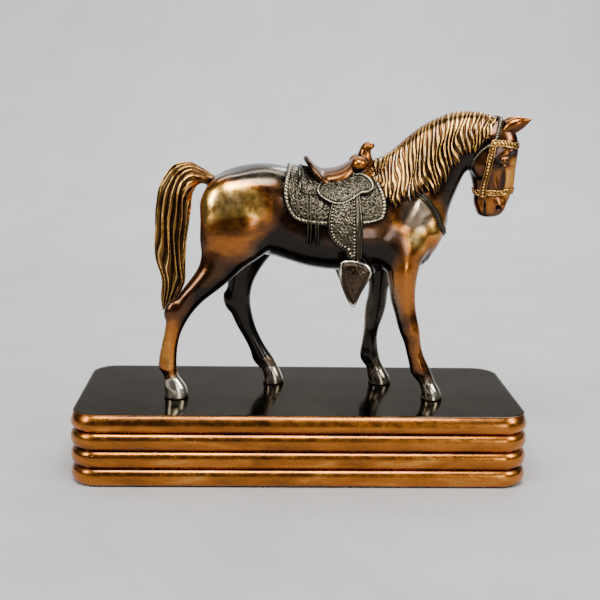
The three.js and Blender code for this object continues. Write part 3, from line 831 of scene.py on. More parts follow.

# Where the patina is worn off or left on, and where highlights, reflections and shade are painted: [x,
# z, (half sizes), how bright], later rows on top
PATINA = 0.22
WEAR_AND_LIGHT_PLACES = [
    # The rump: worn bright, with a painted highlight.
    [-38, 148, (25, 20), 0.86],
    # A painted dark reflection across the middle of the rump, in this row and the next.
    [-34, 140, (17, 6.5), 0.57],
    [-46, 136, (10, 5), 0.57],
    # The thigh and gaskin: worn bright, with a painted reflection.
    [-41, 126, (17, 10), 0.68],
    [-52, 115, (16, 12), 0.52],
    [-66, 99, (9, 11), 0.54],
    [-73, 72, (9, 22), 0.7],
    # The shoulder and chest: worn bright, with painted highlights.
    [69, 141, (14, 20), 0.92],
    [57, 146, (9, 10), 0.62],
    [75, 136, (8, 14), 0.8],
    [61, 108, (13, 22), 0.66],
    [66, 72, (10, 18), 0.6],
    [-22, 100, (12, 24), 0.42],
    [46, 84, (10, 26), 0.4],
    # The hooves: worn bright, with painted highlights.
    [-70, 47, (14, 9), 0.92],
    [77, 47, (14, 9), 0.8],
    [-15, 48, (14, 10), 0.95],
    [49, 48, (14, 10), 0.75],
    # The face: painted highlights either side of the facial crest, painted shade in the groove between,
    # and painted highlights on the eyelids.
    [117, 168, (6, 24), 0.9],
    [109, 168, (4, 16), 0.66],
    [108, 151, (13, 8), 0.7],
    [101, 170, (5, 13), 0.56],
    [108.5, 178, (4, 6), 0.3],
    [119, 184, (5, 5), 0.4],
    [113.4, 166.5, (1.7, 7.5), 0.24],
    [113.6, 178.4, (4, 3.4), 0.84],
    [113.4, 176.6, (1.3, 0.8), 0.45],
    [80, 198, (50, 12), 0.46],
]
# Where pale highlights and reflections are painted over the patina, on the hooves, shoulder, croup and
# far legs: [x, z, (half sizes), how pale]
PALE_HIGHLIGHT_PLACES = [
    [-70, 47, (14, 8), 0.95],
    [77, 47, (14, 8), 0.95],
    [-15, 48, (14, 9), 0.95],
    [49, 48, (14, 9), 0.95],
    [64, 148, (10, 10), 0.75],
    [-24, 172, (40, 8), 0.7],
    [-22, 90, (16, 40), 0.8],
    [46, 80, (12, 34), 0.8],
]


def patches(points, base, places):
    """A base value, turned to others in soft round places in the side view."""
    values = np.full(len(points), base)
    for x, z, sizes, strength in places:
        offset = (points[:, [0, 2]] - [x, z]) / sizes
        amount = np.clip(1.3 - (offset**2).sum(1), 0, 1)
        values += (strength - values) * amount * amount * (3 - 2 * amount)
    return values


def make_skin():
    points, quads = contour(horse_distance, (-86, -30, 40.5), (130, 30, 210), SKIN_STEP)
    points = relax(horse_distance, points, quads)
    normals = unit(gradient(horse_distance, points))
    closed = hollowness(horse_distance, points, normals)
    # Painted shade: undersides are darkened, most where they face straight down.
    underside_shade = np.clip(-normals[:, 2] * 0.5 + 0.1, 0, 0.5)
    wear_and_light = patches(points, PATINA, WEAR_AND_LIGHT_PLACES) - 0.9 * closed - underside_shade
    # Painted shade on the sides that face the middle plane, such as the inner sides of the legs.
    wear_and_light -= 0.3 * np.clip(normals[:, 1] * np.sign(-points[:, 1]) - 0.1, 0, 1)
    # Painted pale highlights and reflections on the hooves, shoulder, croup and far legs.
    pale_highlight = patches(points, 0.0, PALE_HIGHLIGHT_PLACES)
    made = mesh_object("horse_skin", points, quads, {"wear_and_light": wear_and_light, "pale_highlight": pale_highlight})
    material = metal("horse_copper", COPPER, coat=0.3, pale=PALE)
    finish_piece(made, material, "horse_copper", "body_half_near", "body_half_far", "head", *LEGS)


# ---------------------------------------------------------------- relief laid on the horse


def smooth_line(points, steps=8, closed=False):
    """A smooth curve through points of any number of coordinates."""
    p = np.asarray(points, float)
    p = np.concatenate([p[-1:], p, p[:2]]) if closed else np.concatenate([p[:1], p, p[-1:]])
    parts = []
    t = np.linspace(0, 1, steps, endpoint=False)[:, None]
    for a, b, c, d in zip(p, p[1:], p[2:], p[3:]):
        bend = 2 * a - 5 * b + 4 * c - d
        parts.append(0.5 * (2 * b + (c - a) * t + bend * t**2 + (3 * b - a - 3 * c + d) * t**3))
    line = np.concatenate(parts)
    return line if closed else np.concatenate([line, p[-1:]])


class Edge:
    """A closed outline in a plane: how far inside it a point is, and how far along it."""

    def __init__(self, line):
        self.start = np.asarray(line, float)
        self.run = np.roll(self.start, -1, 0) - self.start
        self.length = np.maximum(np.linalg.norm(self.run, axis=1), 1e-9)
        self.along = np.r_[0, np.cumsum(self.length)]

    def __call__(self, points, size=20_000):
        parts = [self.measure(points[i : i + size]) for i in range(0, len(points), size)]
        return np.concatenate([p[0] for p in parts]), np.concatenate([p[1] for p in parts])

    def measure(self, points):
        offset = points[:, None] - self.start
        t = np.clip((offset * self.run).sum(-1) / self.length**2, 0, 1)
        gap = np.linalg.norm(offset - t[..., None] * self.run, axis=-1)
        nearest = gap.argmin(1)
        rows = np.arange(len(points))
        ends = self.start + self.run
        low, high = self.start[:, 1] > points[:, 1:], ends[:, 1] > points[:, 1:]
        cross = self.start[:, 0] + self.run[:, 0] * (
            (points[:, 1:] - self.start[:, 1]) / np.where(self.run[:, 1] == 0, 1e-9, self.run[:, 1])
        )
        inside = ((low != high) & (points[:, :1] < cross)).sum(1) % 2 == 1
        along = self.along[nearest] + t[rows, nearest] * self.length[nearest]
        return np.where(inside, 1, -1) * gap[rows, nearest], along


AXIS_Z = 141.0


class Side:
    """The body unrolled over its back: x along it, and s down from the spine on each side.

    Outlines are read off the outer face of a layer that stands lift above the skin.
    """

    def __init__(self, x_range, depth, step=0.34, hangs=False, lift=0.0):
        self.x = np.arange(x_range[0], x_range[1] + step, step)
        self.s = np.arange(-depth, depth + step / 2, step)
        turns = np.radians(np.linspace(0, 150, 90))
        rays = np.stack([0 * turns, np.sin(turns), np.cos(turns)], 1)
        start = np.stack([self.x, 0 * self.x, 0 * self.x + AXIS_Z], 1)[:, None]
        near = np.full((len(self.x), len(turns)), 3.0)
        far = np.full_like(near, 45.0)
        for _ in range(11):
            middle = (near + far) / 2
            points = start + rays * middle[..., None]
            inside = barrel_distance(points.reshape(-1, 3)).reshape(middle.shape) < 0
            near, far = np.where(inside, middle, near), np.where(inside, far, middle)
        profile = start + rays * near[..., None]
        across, height = profile[..., 1], profile[..., 2]
        if hangs:
            widest = across.argmax(1)
            for column, at in enumerate(widest):
                drop = np.linspace(0, 40, len(turns) - at)
                across[column, at:] = across[column, at]
                height[column, at:] = height[column, at] - drop
        gaps = np.hypot(np.diff(across, axis=1), np.diff(height, axis=1))
        length = np.concatenate([np.zeros((len(self.x), 1)), np.cumsum(gaps, 1)], 1)
        facing_up = np.gradient(across, axis=1) / np.maximum(np.gradient(length, axis=1), 1e-6)
        self.height, self.length = height + lift * facing_up, length
        reach = np.abs(self.s)
        y = np.stack([np.interp(reach, l, a) for l, a in zip(length, across)])
        z = np.stack([np.interp(reach, l, h) for l, h in zip(length, height)])
        x = np.repeat(self.x[:, None], len(self.s), 1)
        self.points = np.stack([x, y * np.sign(self.s), z], -1)
        along, down = np.gradient(self.points, axis=0), np.gradient(self.points, axis=1)
        normals = np.cross(down, along)
        facing = np.sign((normals * (self.points - [0, 0, AXIS_Z])).sum(-1, keepdims=True))
        normals = normals * facing
        normals[..., 0] *= 0.5
        self.normals = normals / np.linalg.norm(normals, axis=-1, keepdims=True)
        self.plane = np.stack([x, np.abs(self.s) + 0 * x], -1).reshape(-1, 2)

    def unroll(self, line):
        """Points [x, z] of the side view, as [x, s]."""
        out = []
        for x, z in line:
            column = int(np.clip(round((x - self.x[0]) / (self.x[1] - self.x[0])), 0, len(self.x) - 1))
            top = self.height[column, 0]
            falling = np.minimum.accumulate(self.height[column])
            s = np.interp(-z, -falling, self.length[column])
            out.append((x, s if z < top else top - z))
        return np.array(out)

    def edge(self, outline, steps=7):
        return Edge(self.unroll(smooth_line(outline, steps, closed=True)))


def sheet_object(name, points, normals, heights, keep, back, wear_and_light):
    """A closed sheet: a front raised by heights, a back at one level, and walls between."""
    rows, columns = heights.shape
    quads = grid_faces(rows, columns)
    quads = quads[keep.ravel()[quads].all(1)]
    used, quads = np.unique(quads, return_inverse=True)
    quads = quads.reshape(-1, 4)
    base, normal = points.reshape(-1, 3)[used], normals.reshape(-1, 3)[used]
    front = base + normal * heights.ravel()[used, None]
    rear = base + normal * back
    outward = np.cross(front[quads[:, 1]] - front[quads[:, 0]], front[quads[:, 2]] - front[quads[:, 0]])
    if (outward * normal[quads[:, 0]]).sum() < 0:
        quads = quads[:, ::-1]
    edges = np.concatenate([quads[:, [i, (i + 1) % 4]] for i in range(4)])
    codes = edges[:, 0] * len(used) + edges[:, 1]
    rim = edges[~np.isin(codes, edges[:, 1] * len(used) + edges[:, 0])]
    count = len(used)
    walls = np.stack([rim[:, 1], rim[:, 0], rim[:, 0] + count, rim[:, 1] + count], 1)
    faces = np.concatenate([quads, quads[:, ::-1] + count, walls])
    shade = wear_and_light.ravel()[used]
    return mesh_object(name, np.concatenate([front, rear]), faces, {"wear_and_light": np.r_[shade, shade]})


def ridge(across, width):
    """A round-topped line."""
    return np.sqrt(np.clip(1 - (across / width) ** 2, 0, 1))


def beads(across, along, pitch, radius):
    """A row of round beads."""
    offset = ((along / pitch) % 1 - 0.5) * pitch
    return np.sqrt(np.clip(1 - (across**2 + offset**2) / radius**2, 0, 1))


def pebbles(plane, size):
    """Irregular grains, 1 at their tops and 0 between them."""
    plane = plane + 0.45 * size * np.sin(plane[:, ::-1] * [1.9, 2.7] / size)
    cell = np.floor(plane / size)
    best = np.full(len(plane), 9.0)
    for i in (-1, 0, 1):
        for j in (-1, 0, 1):
            corner = cell + [i, j]
            wobble = np.sin(corner @ [[12.9898, 39.346], [78.233, 11.135]]) * 43758.5453
            centre = (corner + 0.5 + 0.9 * (wobble % 1 - 0.5)) * size
            best = np.minimum(best, np.linalg.norm(plane - centre, axis=1) / size)
    return np.clip(1 - 1.5 * best**2, 0, 1)


def scroll(plane, at, radius, turns=1.6, start=0.0, width=0.42):
    """A raised spiral with a bead at its heart."""
    offset = plane - at
    r = np.linalg.norm(offset, axis=1)
    angle = np.arctan2(offset[:, 1], offset[:, 0]) / (2 * math.pi) + start
    arm = np.full(len(plane), 9.0)
    for k in range(-1, math.ceil(turns) + 1):
        wanted = radius * (angle + k) / turns
        arm = np.minimum(arm, np.where((wanted > 0) & (wanted < radius), np.abs(r - wanted), 9))
    return np.maximum(ridge(arm, width), ridge(r, width * 1.5))


def flower(plane, at, radius, petals=6):
    """A raised flower: petals round a bead."""
    offset = plane - at
    r = np.linalg.norm(offset, axis=1) / radius
    angle = np.arctan2(offset[:, 1], offset[:, 0])
    petal = np.clip(1 - ((r - 0.62) / 0.4) ** 2, 0, 1) * (0.35 + 0.65 * np.cos(petals * angle / 2) ** 2)
    return np.maximum(petal, ridge(r, 0.24))


def circles(plane, at, radii, width):
    """Raised circles round one centre."""
    r = np.linalg.norm(plane - at, axis=1)
    return np.max([ridge(r - radius, width) for radius in radii], axis=0)


# Heights above the skin at which each layer of the saddle starts
BLANKET_TOP = 1.7
SKIRT_TOP = 3.2
JOCKEY_TOP = 4.7
SUNK = -1.4
TACK_SLOT = "tack_antique"


def layer_heights(d, base, top, relief):
    """Heights of a layer with a rounded edge, from how far inside the edge a point is."""
    soft = 0.5
    rise = np.clip((d + 0.15) / soft, 0, 1)
    rise = rise * rise * (3 - 2 * rise)
    return base + (top - base + relief * (d > 0)) * rise


def relief_piece(name, node, side, d, base, top, relief, material, lit=0.0, which=None):
    """One relief layer of the tack, on the whole back or on one side of it."""
    heights = layer_heights(d, base, top, relief).reshape(side.points.shape[:2])
    keep = (d > -0.6).reshape(heights.shape)
    if which:
        keep &= side.s * which > 0.2
    wear_and_light = np.clip(0.04 + lit + relief * 0.92 + 0.2 * (d < 0.5), 0, 1)
    wear_and_light = np.where(d < 0, 0.06, wear_and_light)
    made = sheet_object(name, side.points, side.normals, heights, keep, base, wear_and_light)
    finish_piece(made, material, TACK_SLOT, node)


BLANKET = [
    [-7, 181], [-8, 175], [-10.3, 167.2], [-11, 161], [-10.5, 155], [-8.4, 149.9], [-5, 145.2],
    [-0.3, 142.8], [7.8, 141.8], [20, 141.6], [33.8, 142.1], [41, 142.9], [45.1, 145.6],
    [46.7, 151.4], [46.4, 157.3], [43.9, 163.9], [40.4, 170.6], [38, 175], [36, 181],
]
REAR_SKIRT = [
    [-2, 181], [-2.4, 174], [-2.8, 167.1], [-2.5, 162.4], [-0.9, 160], [2, 158.6], [6.2, 158.3],
    [14, 158], [24, 158.4], [33, 161], [34, 170], [33, 181],
]
JOCKEY = [
    [12, 166.4], [9, 164], [7.6, 161], [8.8, 158], [12.4, 155.6], [16.4, 153.8], [20.6, 153.3],
    [25, 154.6], [29, 157], [32.4, 159.2], [36.2, 159.8], [39, 162.2], [38.6, 166], [34.8, 169.1],
    [30, 169.4], [26.5, 170.6], [19, 169],
]
FENDER = [
    [17.5, 156], [15.6, 151], [14.2, 145.5], [14.3, 139], [16, 134.7], [19.8, 130.7], [23.9, 128.4],
    [25.3, 124.6], [29.6, 124.6], [30, 135], [29.7, 148], [29.5, 158], [23, 160],
]
STIRRUP_LEATHER = [[29.7, 124.6], [32.3, 124.8], [32.6, 136], [32.2, 148], [31.4, 158], [29.7, 158]]


def leather_antique():
    return metal("tack_antique", ANTIQUE, blotch=0.16, gloss=(0.2, 0.34), grain=0.02, coat=0.1)


def make_blanket(material):
    side = Side((-13, 50), 37, lift=BLANKET_TOP)
    d, along = side.edge(BLANKET)(side.plane)
    rope = ridge(d - 1.55, 1.15) * (0.5 + 0.5 * np.abs(np.sin(along * math.pi / 2.1)) ** 0.6)
    inner = 0.5 * ridge(d - 3.3, 0.4)
    grain = 0.7 * pebbles(side.plane, 1.1) * (d > 3.6)
    relief = 0.85 * np.maximum(np.maximum(rope, inner), grain)
    relief_piece(
        "saddle_blanket_relief", "saddle_blanket", side, d, SUNK, BLANKET_TOP, relief,
        material, lit=0.04,
    )


def make_rear_skirt(material):
    side = Side((-5, 37), 30, lift=SKIRT_TOP)
    d, along = side.edge(REAR_SKIRT)(side.plane)
    rim = 0.7 * ridge(d - 0.6, 0.5)
    stitch = 0.4 * beads(d - 1.7, along, 0.9, 0.35)
    flowers = np.zeros(len(side.plane))
    for x, z in ((2.6, 170.6), (0.6, 165.6), (4.4, 162.4)):
        at = side.unroll([[x, z]])[0]
        flowers = np.maximum(flowers, 0.7 * flower(side.plane, at, 2.1))
    grain = 0.5 * pebbles(side.plane, 1.2) * (d > 2.2)
    relief = np.max([rim, stitch, flowers * (d > 2), grain], axis=0)
    relief_piece(
        "rear_skirt_relief", "saddle_skirt", side, d, BLANKET_TOP - 0.6, SKIRT_TOP, relief,
        material,
    )


def jockey_relief(side, d, along):
    rim = np.maximum(0.9 * ridge(d - 0.65, 0.6), 0.45 * ridge(d - 2.0, 0.35))
    pearls = 0.45 * beads(d - 3.1, along, 1.25, 0.5)
    scrolls = np.zeros(len(side.plane))
    for x, z, radius, start in (
        (13.6, 161.4, 2.3, 0.2), (27.6, 165.2, 2.6, 0.6), (33.4, 165.4, 2.2, 0.1),
        (18.4, 157.6, 1.7, 0.4), (25.2, 160.6, 2.0, 0.8), (31.2, 162.2, 1.5, 0.3),
    ):
        at = side.unroll([[x, z]])[0]
        scrolls = np.maximum(scrolls, 0.65 * scroll(side.plane, at, radius, start=start, width=0.36))
    rosette = 0.75 * circles(side.plane, side.unroll([[20.2, 163]])[0], (0, 1.1, 2.1), 0.4)
    grain = 0.42 * pebbles(side.plane, 0.95)
    inner = np.max([scrolls, rosette, grain, pearls], axis=0) * (d > 2.4)
    return np.maximum(rim, inner)


def make_jockeys(material):
    side = Side((5, 41), 31, step=0.28, lift=JOCKEY_TOP)
    d, along = side.edge(JOCKEY)(side.plane)
    relief = jockey_relief(side, d, along)
    for which, word in SIDES:
        relief_piece(
            "seat_jockey_relief_" + word, "seat_jockey_" + word, side, d, SKIRT_TOP - 0.8,
            JOCKEY_TOP, relief, material, lit=-0.06, which=which,
        )


def make_fenders(material):
    side = Side((11, 36), 58, step=0.28, hangs=True)
    d, along = side.edge(FENDER)(side.plane)
    rim = 0.45 * ridge(d - 0.45, 0.4)
    pearls = 0.95 * beads(d - 1.7, along, 1.75, 0.72)
    blossom = np.zeros(len(side.plane))
    for x, z, radius in (
        (23, 150, 3), (19, 144, 2.3), (25.6, 143.6, 2.4), (22.4, 138, 2.6), (18.8, 135.4, 1.5),
        (26.4, 134.4, 2.1), (24.6, 129.6, 1.8),
    ):
        at = side.unroll([[x, z]])[0]
        blossom = np.maximum(blossom, 0.85 * flower(side.plane, at, radius))
    grain = 0.6 * pebbles(side.plane, 1.15)
    inner = np.maximum(blossom, grain) * (d > 2.3)
    relief = np.max([rim, pearls, inner], axis=0)
    strap, _ = side.edge(STIRRUP_LEATHER, steps=4)(side.plane)
    strap_relief = 0.4 * ridge(strap - 0.4, 0.3)
    for which, word in SIDES:
        relief_piece(
            "fender_relief_" + word, "fender_" + word, side, d, 3.0, 4.3, relief,
            material, lit=0.02, which=which,
        )
        relief_piece(
            "stirrup_leather_relief_" + word, "stirrup_leather_" + word, side, strap, 3.0, 4.5,
            strap_relief, material, lit=0.2, which=which,
        )


def make_strings(material):
    """Two pairs of tie strings that hang from the rear skirt over the blanket."""
    side = Side((0, 12), 52, hangs=True)
    for which, word in SIDES:
        distance = np.full(len(side.plane), -9.0)
        for x, low in ((2.9, 132), (4.5, 131), (7, 132), (8.5, 130.4)):
            lean = (side.plane[:, 0] - x - 0.3 * np.sin(side.plane[:, 1] / 5))
            reach = side.unroll([[x, low]])[0, 1]
            top = side.unroll([[x, 159.4]])[0, 1]
            end = np.minimum(reach - side.plane[:, 1], side.plane[:, 1] - top)
            distance = np.maximum(distance, np.minimum(0.62 - np.abs(lean), end))
        relief_piece(
            "saddle_strings_relief_" + word, "saddle_strings_" + word, side, distance,
            0.6, 2.9, 0 * distance, material, lit=0.3, which=which,
        )


# ---------------------------------------------------------------- saddle, stirrups and straps


class Plate:
    """A flat oval plate that leans in the side view, with a rounded rim."""

    def __init__(self, x, z, lean, radii, thickness):
        angle = math.radians(lean)
        self.at = np.array([x, 0, z])
        self.up = np.array([math.sin(angle), 0, math.cos(angle)])
        self.face = np.array([math.cos(angle), 0, -math.sin(angle)])
        self.radii, self.half = radii, thickness / 2

    def __call__(self, points):
        offset = points - self.at
        u, v = offset @ self.up / self.radii[0], offset[:, 1] / self.radii[1]
        r = np.maximum(np.hypot(u, v), 1e-4)
        rim = (r - 1) * r / np.maximum(np.hypot(u / self.radii[0], v / self.radii[1]), 1e-4)
        beyond = np.maximum(rim + self.half, 0)
        return np.hypot(beyond, offset @ self.face) - self.half


def field_piece(name, node, field, low, high, step, slot, material, lit, deep=0.8, shade=None):
    """A piece whose surface is a field's zero level, darkened or worn further by shade."""
    points, quads = contour(field, low, high, step)
    points = relax(field, points, quads, rounds=2)
    normals = unit(gradient(field, points))
    wear_and_light = lit - deep * hollowness(field, points, normals, reaches=(0.6, 1.5, 3.0))
    if shade:
        wear_and_light += shade(points, normals)
    made = mesh_object(name, points, quads, {"wear_and_light": wear_and_light})
    finish_piece(made, material, slot, node)


seat_body = Loft(
    [
        [5, 156, 5, 174, 11.5, 0], [7.5, 156, 7.5, 172.6, 13.8, 0], [11, 156, 11, 171.4, 15.4, 0],
        [15.1, 156, 15.1, 171.3, 15.8, 0], [19.9, 156, 19.9, 172.2, 15.4, 0],
        [24.7, 156, 24.7, 174.4, 13.6, 0], [28.7, 156, 28.7, 177.1, 10.6, 0],
        [31.6, 156, 31.6, 179.8, 7.4, 0],
    ],
    dome=(2, 1), power=2.6,
)
cantle = Plate(13.0, 162.5, -37, (19.2, 17), 3.2)


def seat_distance(points):
    return union(seat_body(points), cantle(points), 2.4)


fork_body = Loft(
    [
        [26, 158, 43.5, 158, 15, 0], [27, 168, 42.6, 168, 13, 0], [28.6, 173, 41.9, 173, 8, 0],
        [29.8, 176, 40.6, 176, 5.6, 0], [31, 178.4, 39.3, 178.4, 4.2, 0],
        [32, 181, 38.8, 181, 3.4, 0], [33, 183.4, 38.8, 183.4, 3.2, 0],
    ],
    dome=(0, 1),
)
swells = [Ball(31.6, 174.4, side * 7.6, (4.7, 5.2, 4.5), 0) for side in (NEAR, FAR)]
horn_cap = Ball(37.2, 184, 0, (3.8, 4.2, 2.4), 6)


def fork_distance(points):
    d = fork_body(points)
    for ball in swells:
        d = union(d, ball(points), 1.6)
    return union(d, horn_cap(points), 1.0)


def cantle_shade(points, normals):
    """The cantle behind x 14 is painted darker, most where it faces backwards."""
    behind = np.clip((14 - points[:, 0]) / 5, 0, 1)
    return -0.16 * behind * (1 + np.clip(0.6 - normals[:, 0], 0, 1))


def make_saddle(material):
    field_piece(
        "smooth_seat", "saddle_seat", seat_distance, (-1, -19, 158), (35, 19, 181), 0.55,
        "seat_copper", material, lit=0.42, deep=0.9, shade=cantle_shade,
    )
    field_piece(
        "fork_and_horn", "saddle_fork", fork_distance, (24, -17, 162), (46, 17, 188), 0.5,
        "seat_copper", material, lit=0.52, deep=1.0,
    )


TAPADERO = [
    [20.6, 119.5], [22, 122.8], [27.8, 123.4], [34.6, 121.9], [37.9, 118.8], [38.6, 115.4],
    [35.9, 109.9], [32.7, 104], [30.3, 98.4], [28.4, 96.9], [25.6, 100.6], [22.6, 107],
    [20.8, 113.4],
]
TAPADERO_Y = 27.0
tapadero_edge = Edge(smooth_line(TAPADERO, 8, closed=True))


def tapadero_half(points):
    """Half the thickness of the stirrup hood over the points [x, z] of its outline."""
    d, along = tapadero_edge(points)
    rim = 0.55 * ridge(d - 0.8, 0.65)
    pearls = 0.3 * beads(d - 2.5, along, 1.3, 0.55)
    grain = 0.22 * pebbles(points, 0.9) * (d > 2)
    return d, 1.5 + 2.3 * (1 - np.exp(-np.maximum(d - 1, 0) / 2.6)) + np.maximum(rim, pearls + grain)


def tapadero_shade(points, normals):
    """The hood's rim is painted bright along its top, as a highlight where light catches it and as
    rubbing, and at its rubbed tip, and its grain is picked out.
    """
    d, half = tapadero_half(points[:, [0, 2]])
    lit_and_rubbed = np.clip((points[:, 2] - 108) / 8, 0, 1) + np.clip((102 - points[:, 2]) / 4, 0, 1)
    return 0.62 * ridge(d - 0.8, 0.8) * lit_and_rubbed + 0.24 * pebbles(points[:, [0, 2]], 0.9)


def make_tapaderos(material):
    for side, word in SIDES:

        def field(points):
            d, half = tapadero_half(points[:, [0, 2]])
            out = np.abs(points[:, 1] - side * TAPADERO_Y) - half
            return np.maximum(-d, out)

        low = (19, side * TAPADERO_Y - 5.5, 95)
        high = (41, side * TAPADERO_Y + 5.5, 126)
        field_piece(
            "stirrup_hood_" + word, "tapadero_" + word, field, low, high, 0.42,
            "tapadero_bronze", material, lit=0.26, shade=tapadero_shade,
        )


def on_side(field, line, side):
    """Points [x, z] of the side view, moved onto the field's near or far side."""
    line = np.asarray(line, float)
    inner, outer = np.zeros(len(line)), np.full(len(line), 32.0)
    for _ in range(14):
        middle = (inner + outer) / 2
        inside = field(np.stack([line[:, 0], side * middle, line[:, 1]], 1)) < 0
        inner, outer = np.where(inside, middle, inner), np.where(inside, outer, middle)
    return np.stack([line[:, 0], side * inner, line[:, 1]], 1)


def neck_and_head(points):
    return union(barrel_distance(points), head(points), HEAD_BLEND)


def evenly(line, step):
    """Resamples a line at even steps."""
    along = np.r_[0, np.cumsum(np.linalg.norm(np.diff(line, axis=0), axis=1))]
    wanted = np.linspace(0, along[-1], max(3, round(along[-1] / step)))
    return np.stack([np.interp(wanted, along, line[:, k]) for k in range(line.shape[1])], 1)


def ribbon(name, node, field, path, width, thickness, relief, material, lit):
    """A strap along a path on a field's surface. relief(across, along, inside) is its pattern."""
    base, step = -0.8, 0.3
    line = evenly(smooth_line(path, 10), step)
    line = project(field, line)
    for _ in range(3):
        line[1:-1] = (line[:-2] + 2 * line[1:-1] + line[2:]) / 4
    line = project(field, line)
    ahead = unit(np.gradient(line, axis=0))
    across = unit(np.cross(unit(gradient(field, line, 0.4)), ahead))
    offsets = np.arange(-width / 2 - 0.45, width / 2 + 0.46, step * 0.8)
    points = line[:, None] + across[:, None] * offsets[:, None]
    shape = points.shape
    points = project(field, points.reshape(-1, 3), rounds=2)
    normals = unit(gradient(field, points, 0.4))
    along = np.repeat(np.arange(len(line)) * step, len(offsets))
    aside = np.tile(offsets, len(line))
    ends = np.minimum(along, along.max() - along)
    inside = np.minimum(width / 2 - np.abs(aside), ends - 0.3)
    pattern = relief(aside, along, inside) * (inside > 0)
    heights = layer_heights(inside, base, thickness, pattern)
    wear_and_light = np.clip(lit + 0.7 * pattern - 0.4 * (inside < 0.1), 0, 1)
    grid = heights.reshape(shape[:2])
    made = sheet_object(
        name, points.reshape(shape), normals.reshape(shape), grid,
        (inside > -0.5).reshape(shape[:2]), base, wear_and_light,
    )
    finish_piece(made, material, TACK_SLOT, node)


def edged(aside, along, inside):
    """Raised edges along a strap."""
    return 0.4 * ridge(inside - 0.4, 0.38)


def carved(aside, along, inside):
    """Leafy waves between raised edges."""
    waves = 0.5 + 0.5 * np.sin(2.9 * along + 1.8 * np.sin(2.2 * aside))
    return np.maximum(0.34 * waves * np.clip(inside - 0.5, 0, 1), 0.4 * ridge(inside - 0.4, 0.38))


def beaded(pitch, radius, edge=0.0):
    """A strap pattern: a middle row of beads, between raised edges if edge is above 0."""

    def pattern(aside, along, inside):
        row = beads(aside, along, pitch, radius) * radius * 1.1
        return np.maximum(row, edge * ridge(inside - 0.4, 0.38))

    return pattern


def paired(path):
    """A path from the near side to the middle plane, carried on to the far side."""
    path = np.asarray(path, float)
    return np.concatenate([path, path[-2::-1] * [1, -1, 1]])


def stud(name, node, centre, normal, profile, material):
    """A round stud turned from a profile of [radius, height]."""
    normal = normal / np.linalg.norm(normal)
    aside = np.cross(normal, [0, 0, 1.0])
    aside /= np.linalg.norm(aside)
    other = np.cross(normal, aside)
    turn = np.linspace(0, 2 * math.pi, 32, endpoint=False)[:, None]
    circle = np.cos(turn) * aside + np.sin(turn) * other
    rows = [centre + radius * circle + height * normal for radius, height in profile]
    heights = np.array([height for radius, height in profile])
    wear_and_light = np.repeat(0.45 + 0.4 * heights / heights.max(), len(turn))
    made = rings_object(name, rows, {"wear_and_light": wear_and_light})
    finish_piece(made, material, TACK_SLOT, node)


def make_bridle(material, bright):
    """Straps round the head, in the near and far halves that the rosettes join."""
    for side, word in SIDES:
        cheek = on_side(head_form, [
            [106.4, 186.4], [105.8, 182], [104.2, 176], [103.3, 169.4], [102.7, 162], [102.5, 155.8],
        ], side)
        ribbon(
            "cheek_strap_relief_" + word, "cheek_strap_" + word, head_form, cheek, 4.0, 1.0,
            beaded(1.7, 0.68, edge=0.5), bright, lit=0.3,
        )
        throat = on_side(neck_and_head, [[106.6, 186.8], [102, 184.4], [98.2, 181], [95.6, 177]], side)
        throat = np.concatenate([throat, [[94.2, side * 2.5, 173.2]]])
        ribbon(
            "throatlatch_relief_" + word, "throatlatch_" + word, neck_and_head, throat, 2.2, 0.9,
            beaded(1.4, 0.66, edge=0.2), material, lit=0.3,
        )
        centre = on_side(head_form, [[107.2, 186.9]], side)[0]
        out = gradient(head_form, centre[None], 0.5)[0]
        profile = [
            (2.3, -0.8), (2.3, 0.9), (2.1, 1.25), (1.7, 1.3), (1.45, 1.0), (1.15, 1.1), (1.0, 1.6),
            (0.7, 1.95), (0.3, 2.1),
        ]
        stud("rosette_relief_" + word, "rosette_" + word, centre, out, profile, bright)
    near = on_side(neck_and_head, [[107.6, 188.2], [109, 192.8], [110.2, 197.2]], NEAR)
    crown = paired([*near, [111.4, 0, 201.8]])
    ribbon("crown_strap_relief", "crown_strap", neck_and_head, crown, 2.6, 1.0,
           beaded(1.45, 0.74, edge=0.2), material, lit=0.3)
    near = on_side(head_form, [[108.6, 186.8], [112, 187.2], [116, 186.4], [119.6, 185.8]], NEAR)
    brow = paired([*near, [122.4, 0, 186]])
    ribbon("browband_relief", "browband", head_form, brow, 4.0, 0.4, carved, bright, lit=0.5)
    near = on_side(head_form, [[101, 158.8], [105, 159], [111, 159.2], [116, 159.8]], NEAR)
    loop = paired([[98.4, 0, 160.4], *near, [120.4, 0, 160.4]])
    ribbon("noseband_relief", "noseband", head_form, loop, 3.6, 0.4, carved, bright, lit=0.5)


def make_breast_collar_and_cinch(material):
    near = on_side(barrel_distance, [
        [47, 158.6], [56, 159.4], [63, 159.8], [66.6, 158], [70.4, 154.4], [73.8, 150],
        [76.6, 145.4], [78.6, 140],
    ], NEAR)
    collar = paired([*near, [81.2, 0, 135.5]])
    ribbon("breast_collar_relief", "breast_collar", horse_distance, collar, 4.0, 0.55,
           beaded(1.6, 0.6, edge=0.35), material, lit=0.22)
    near = on_side(barrel_distance, [[27, 136], [29.5, 130], [33, 125.6], [37, 122]], NEAR)
    cinch = paired([*near, [40.5, -10, 114.5], [41.5, 0, 112.2]])
    ribbon("cinch_relief", "cinch", barrel_distance, cinch, 3.6, 0.8, edged,
           material, lit=0.1)


# ---------------------------------------------------------------- hair and ears

CREST = [
    [40.5, 176.2], [50.2, 182.4], [60.5, 191.2], [70.8, 200], [82.6, 205.1], [94.7, 206.1],
    [105.4, 204.2], [110.5, 202],
]
MANE_ENDS = [
    [39, 168], [46, 156.5], [50, 151.5], [57, 153], [62.4, 151.2], [67, 157.5], [73, 159.6],
    [77.5, 165], [84, 170.5], [92, 178], [100, 184.5], [107.4, 189],
]


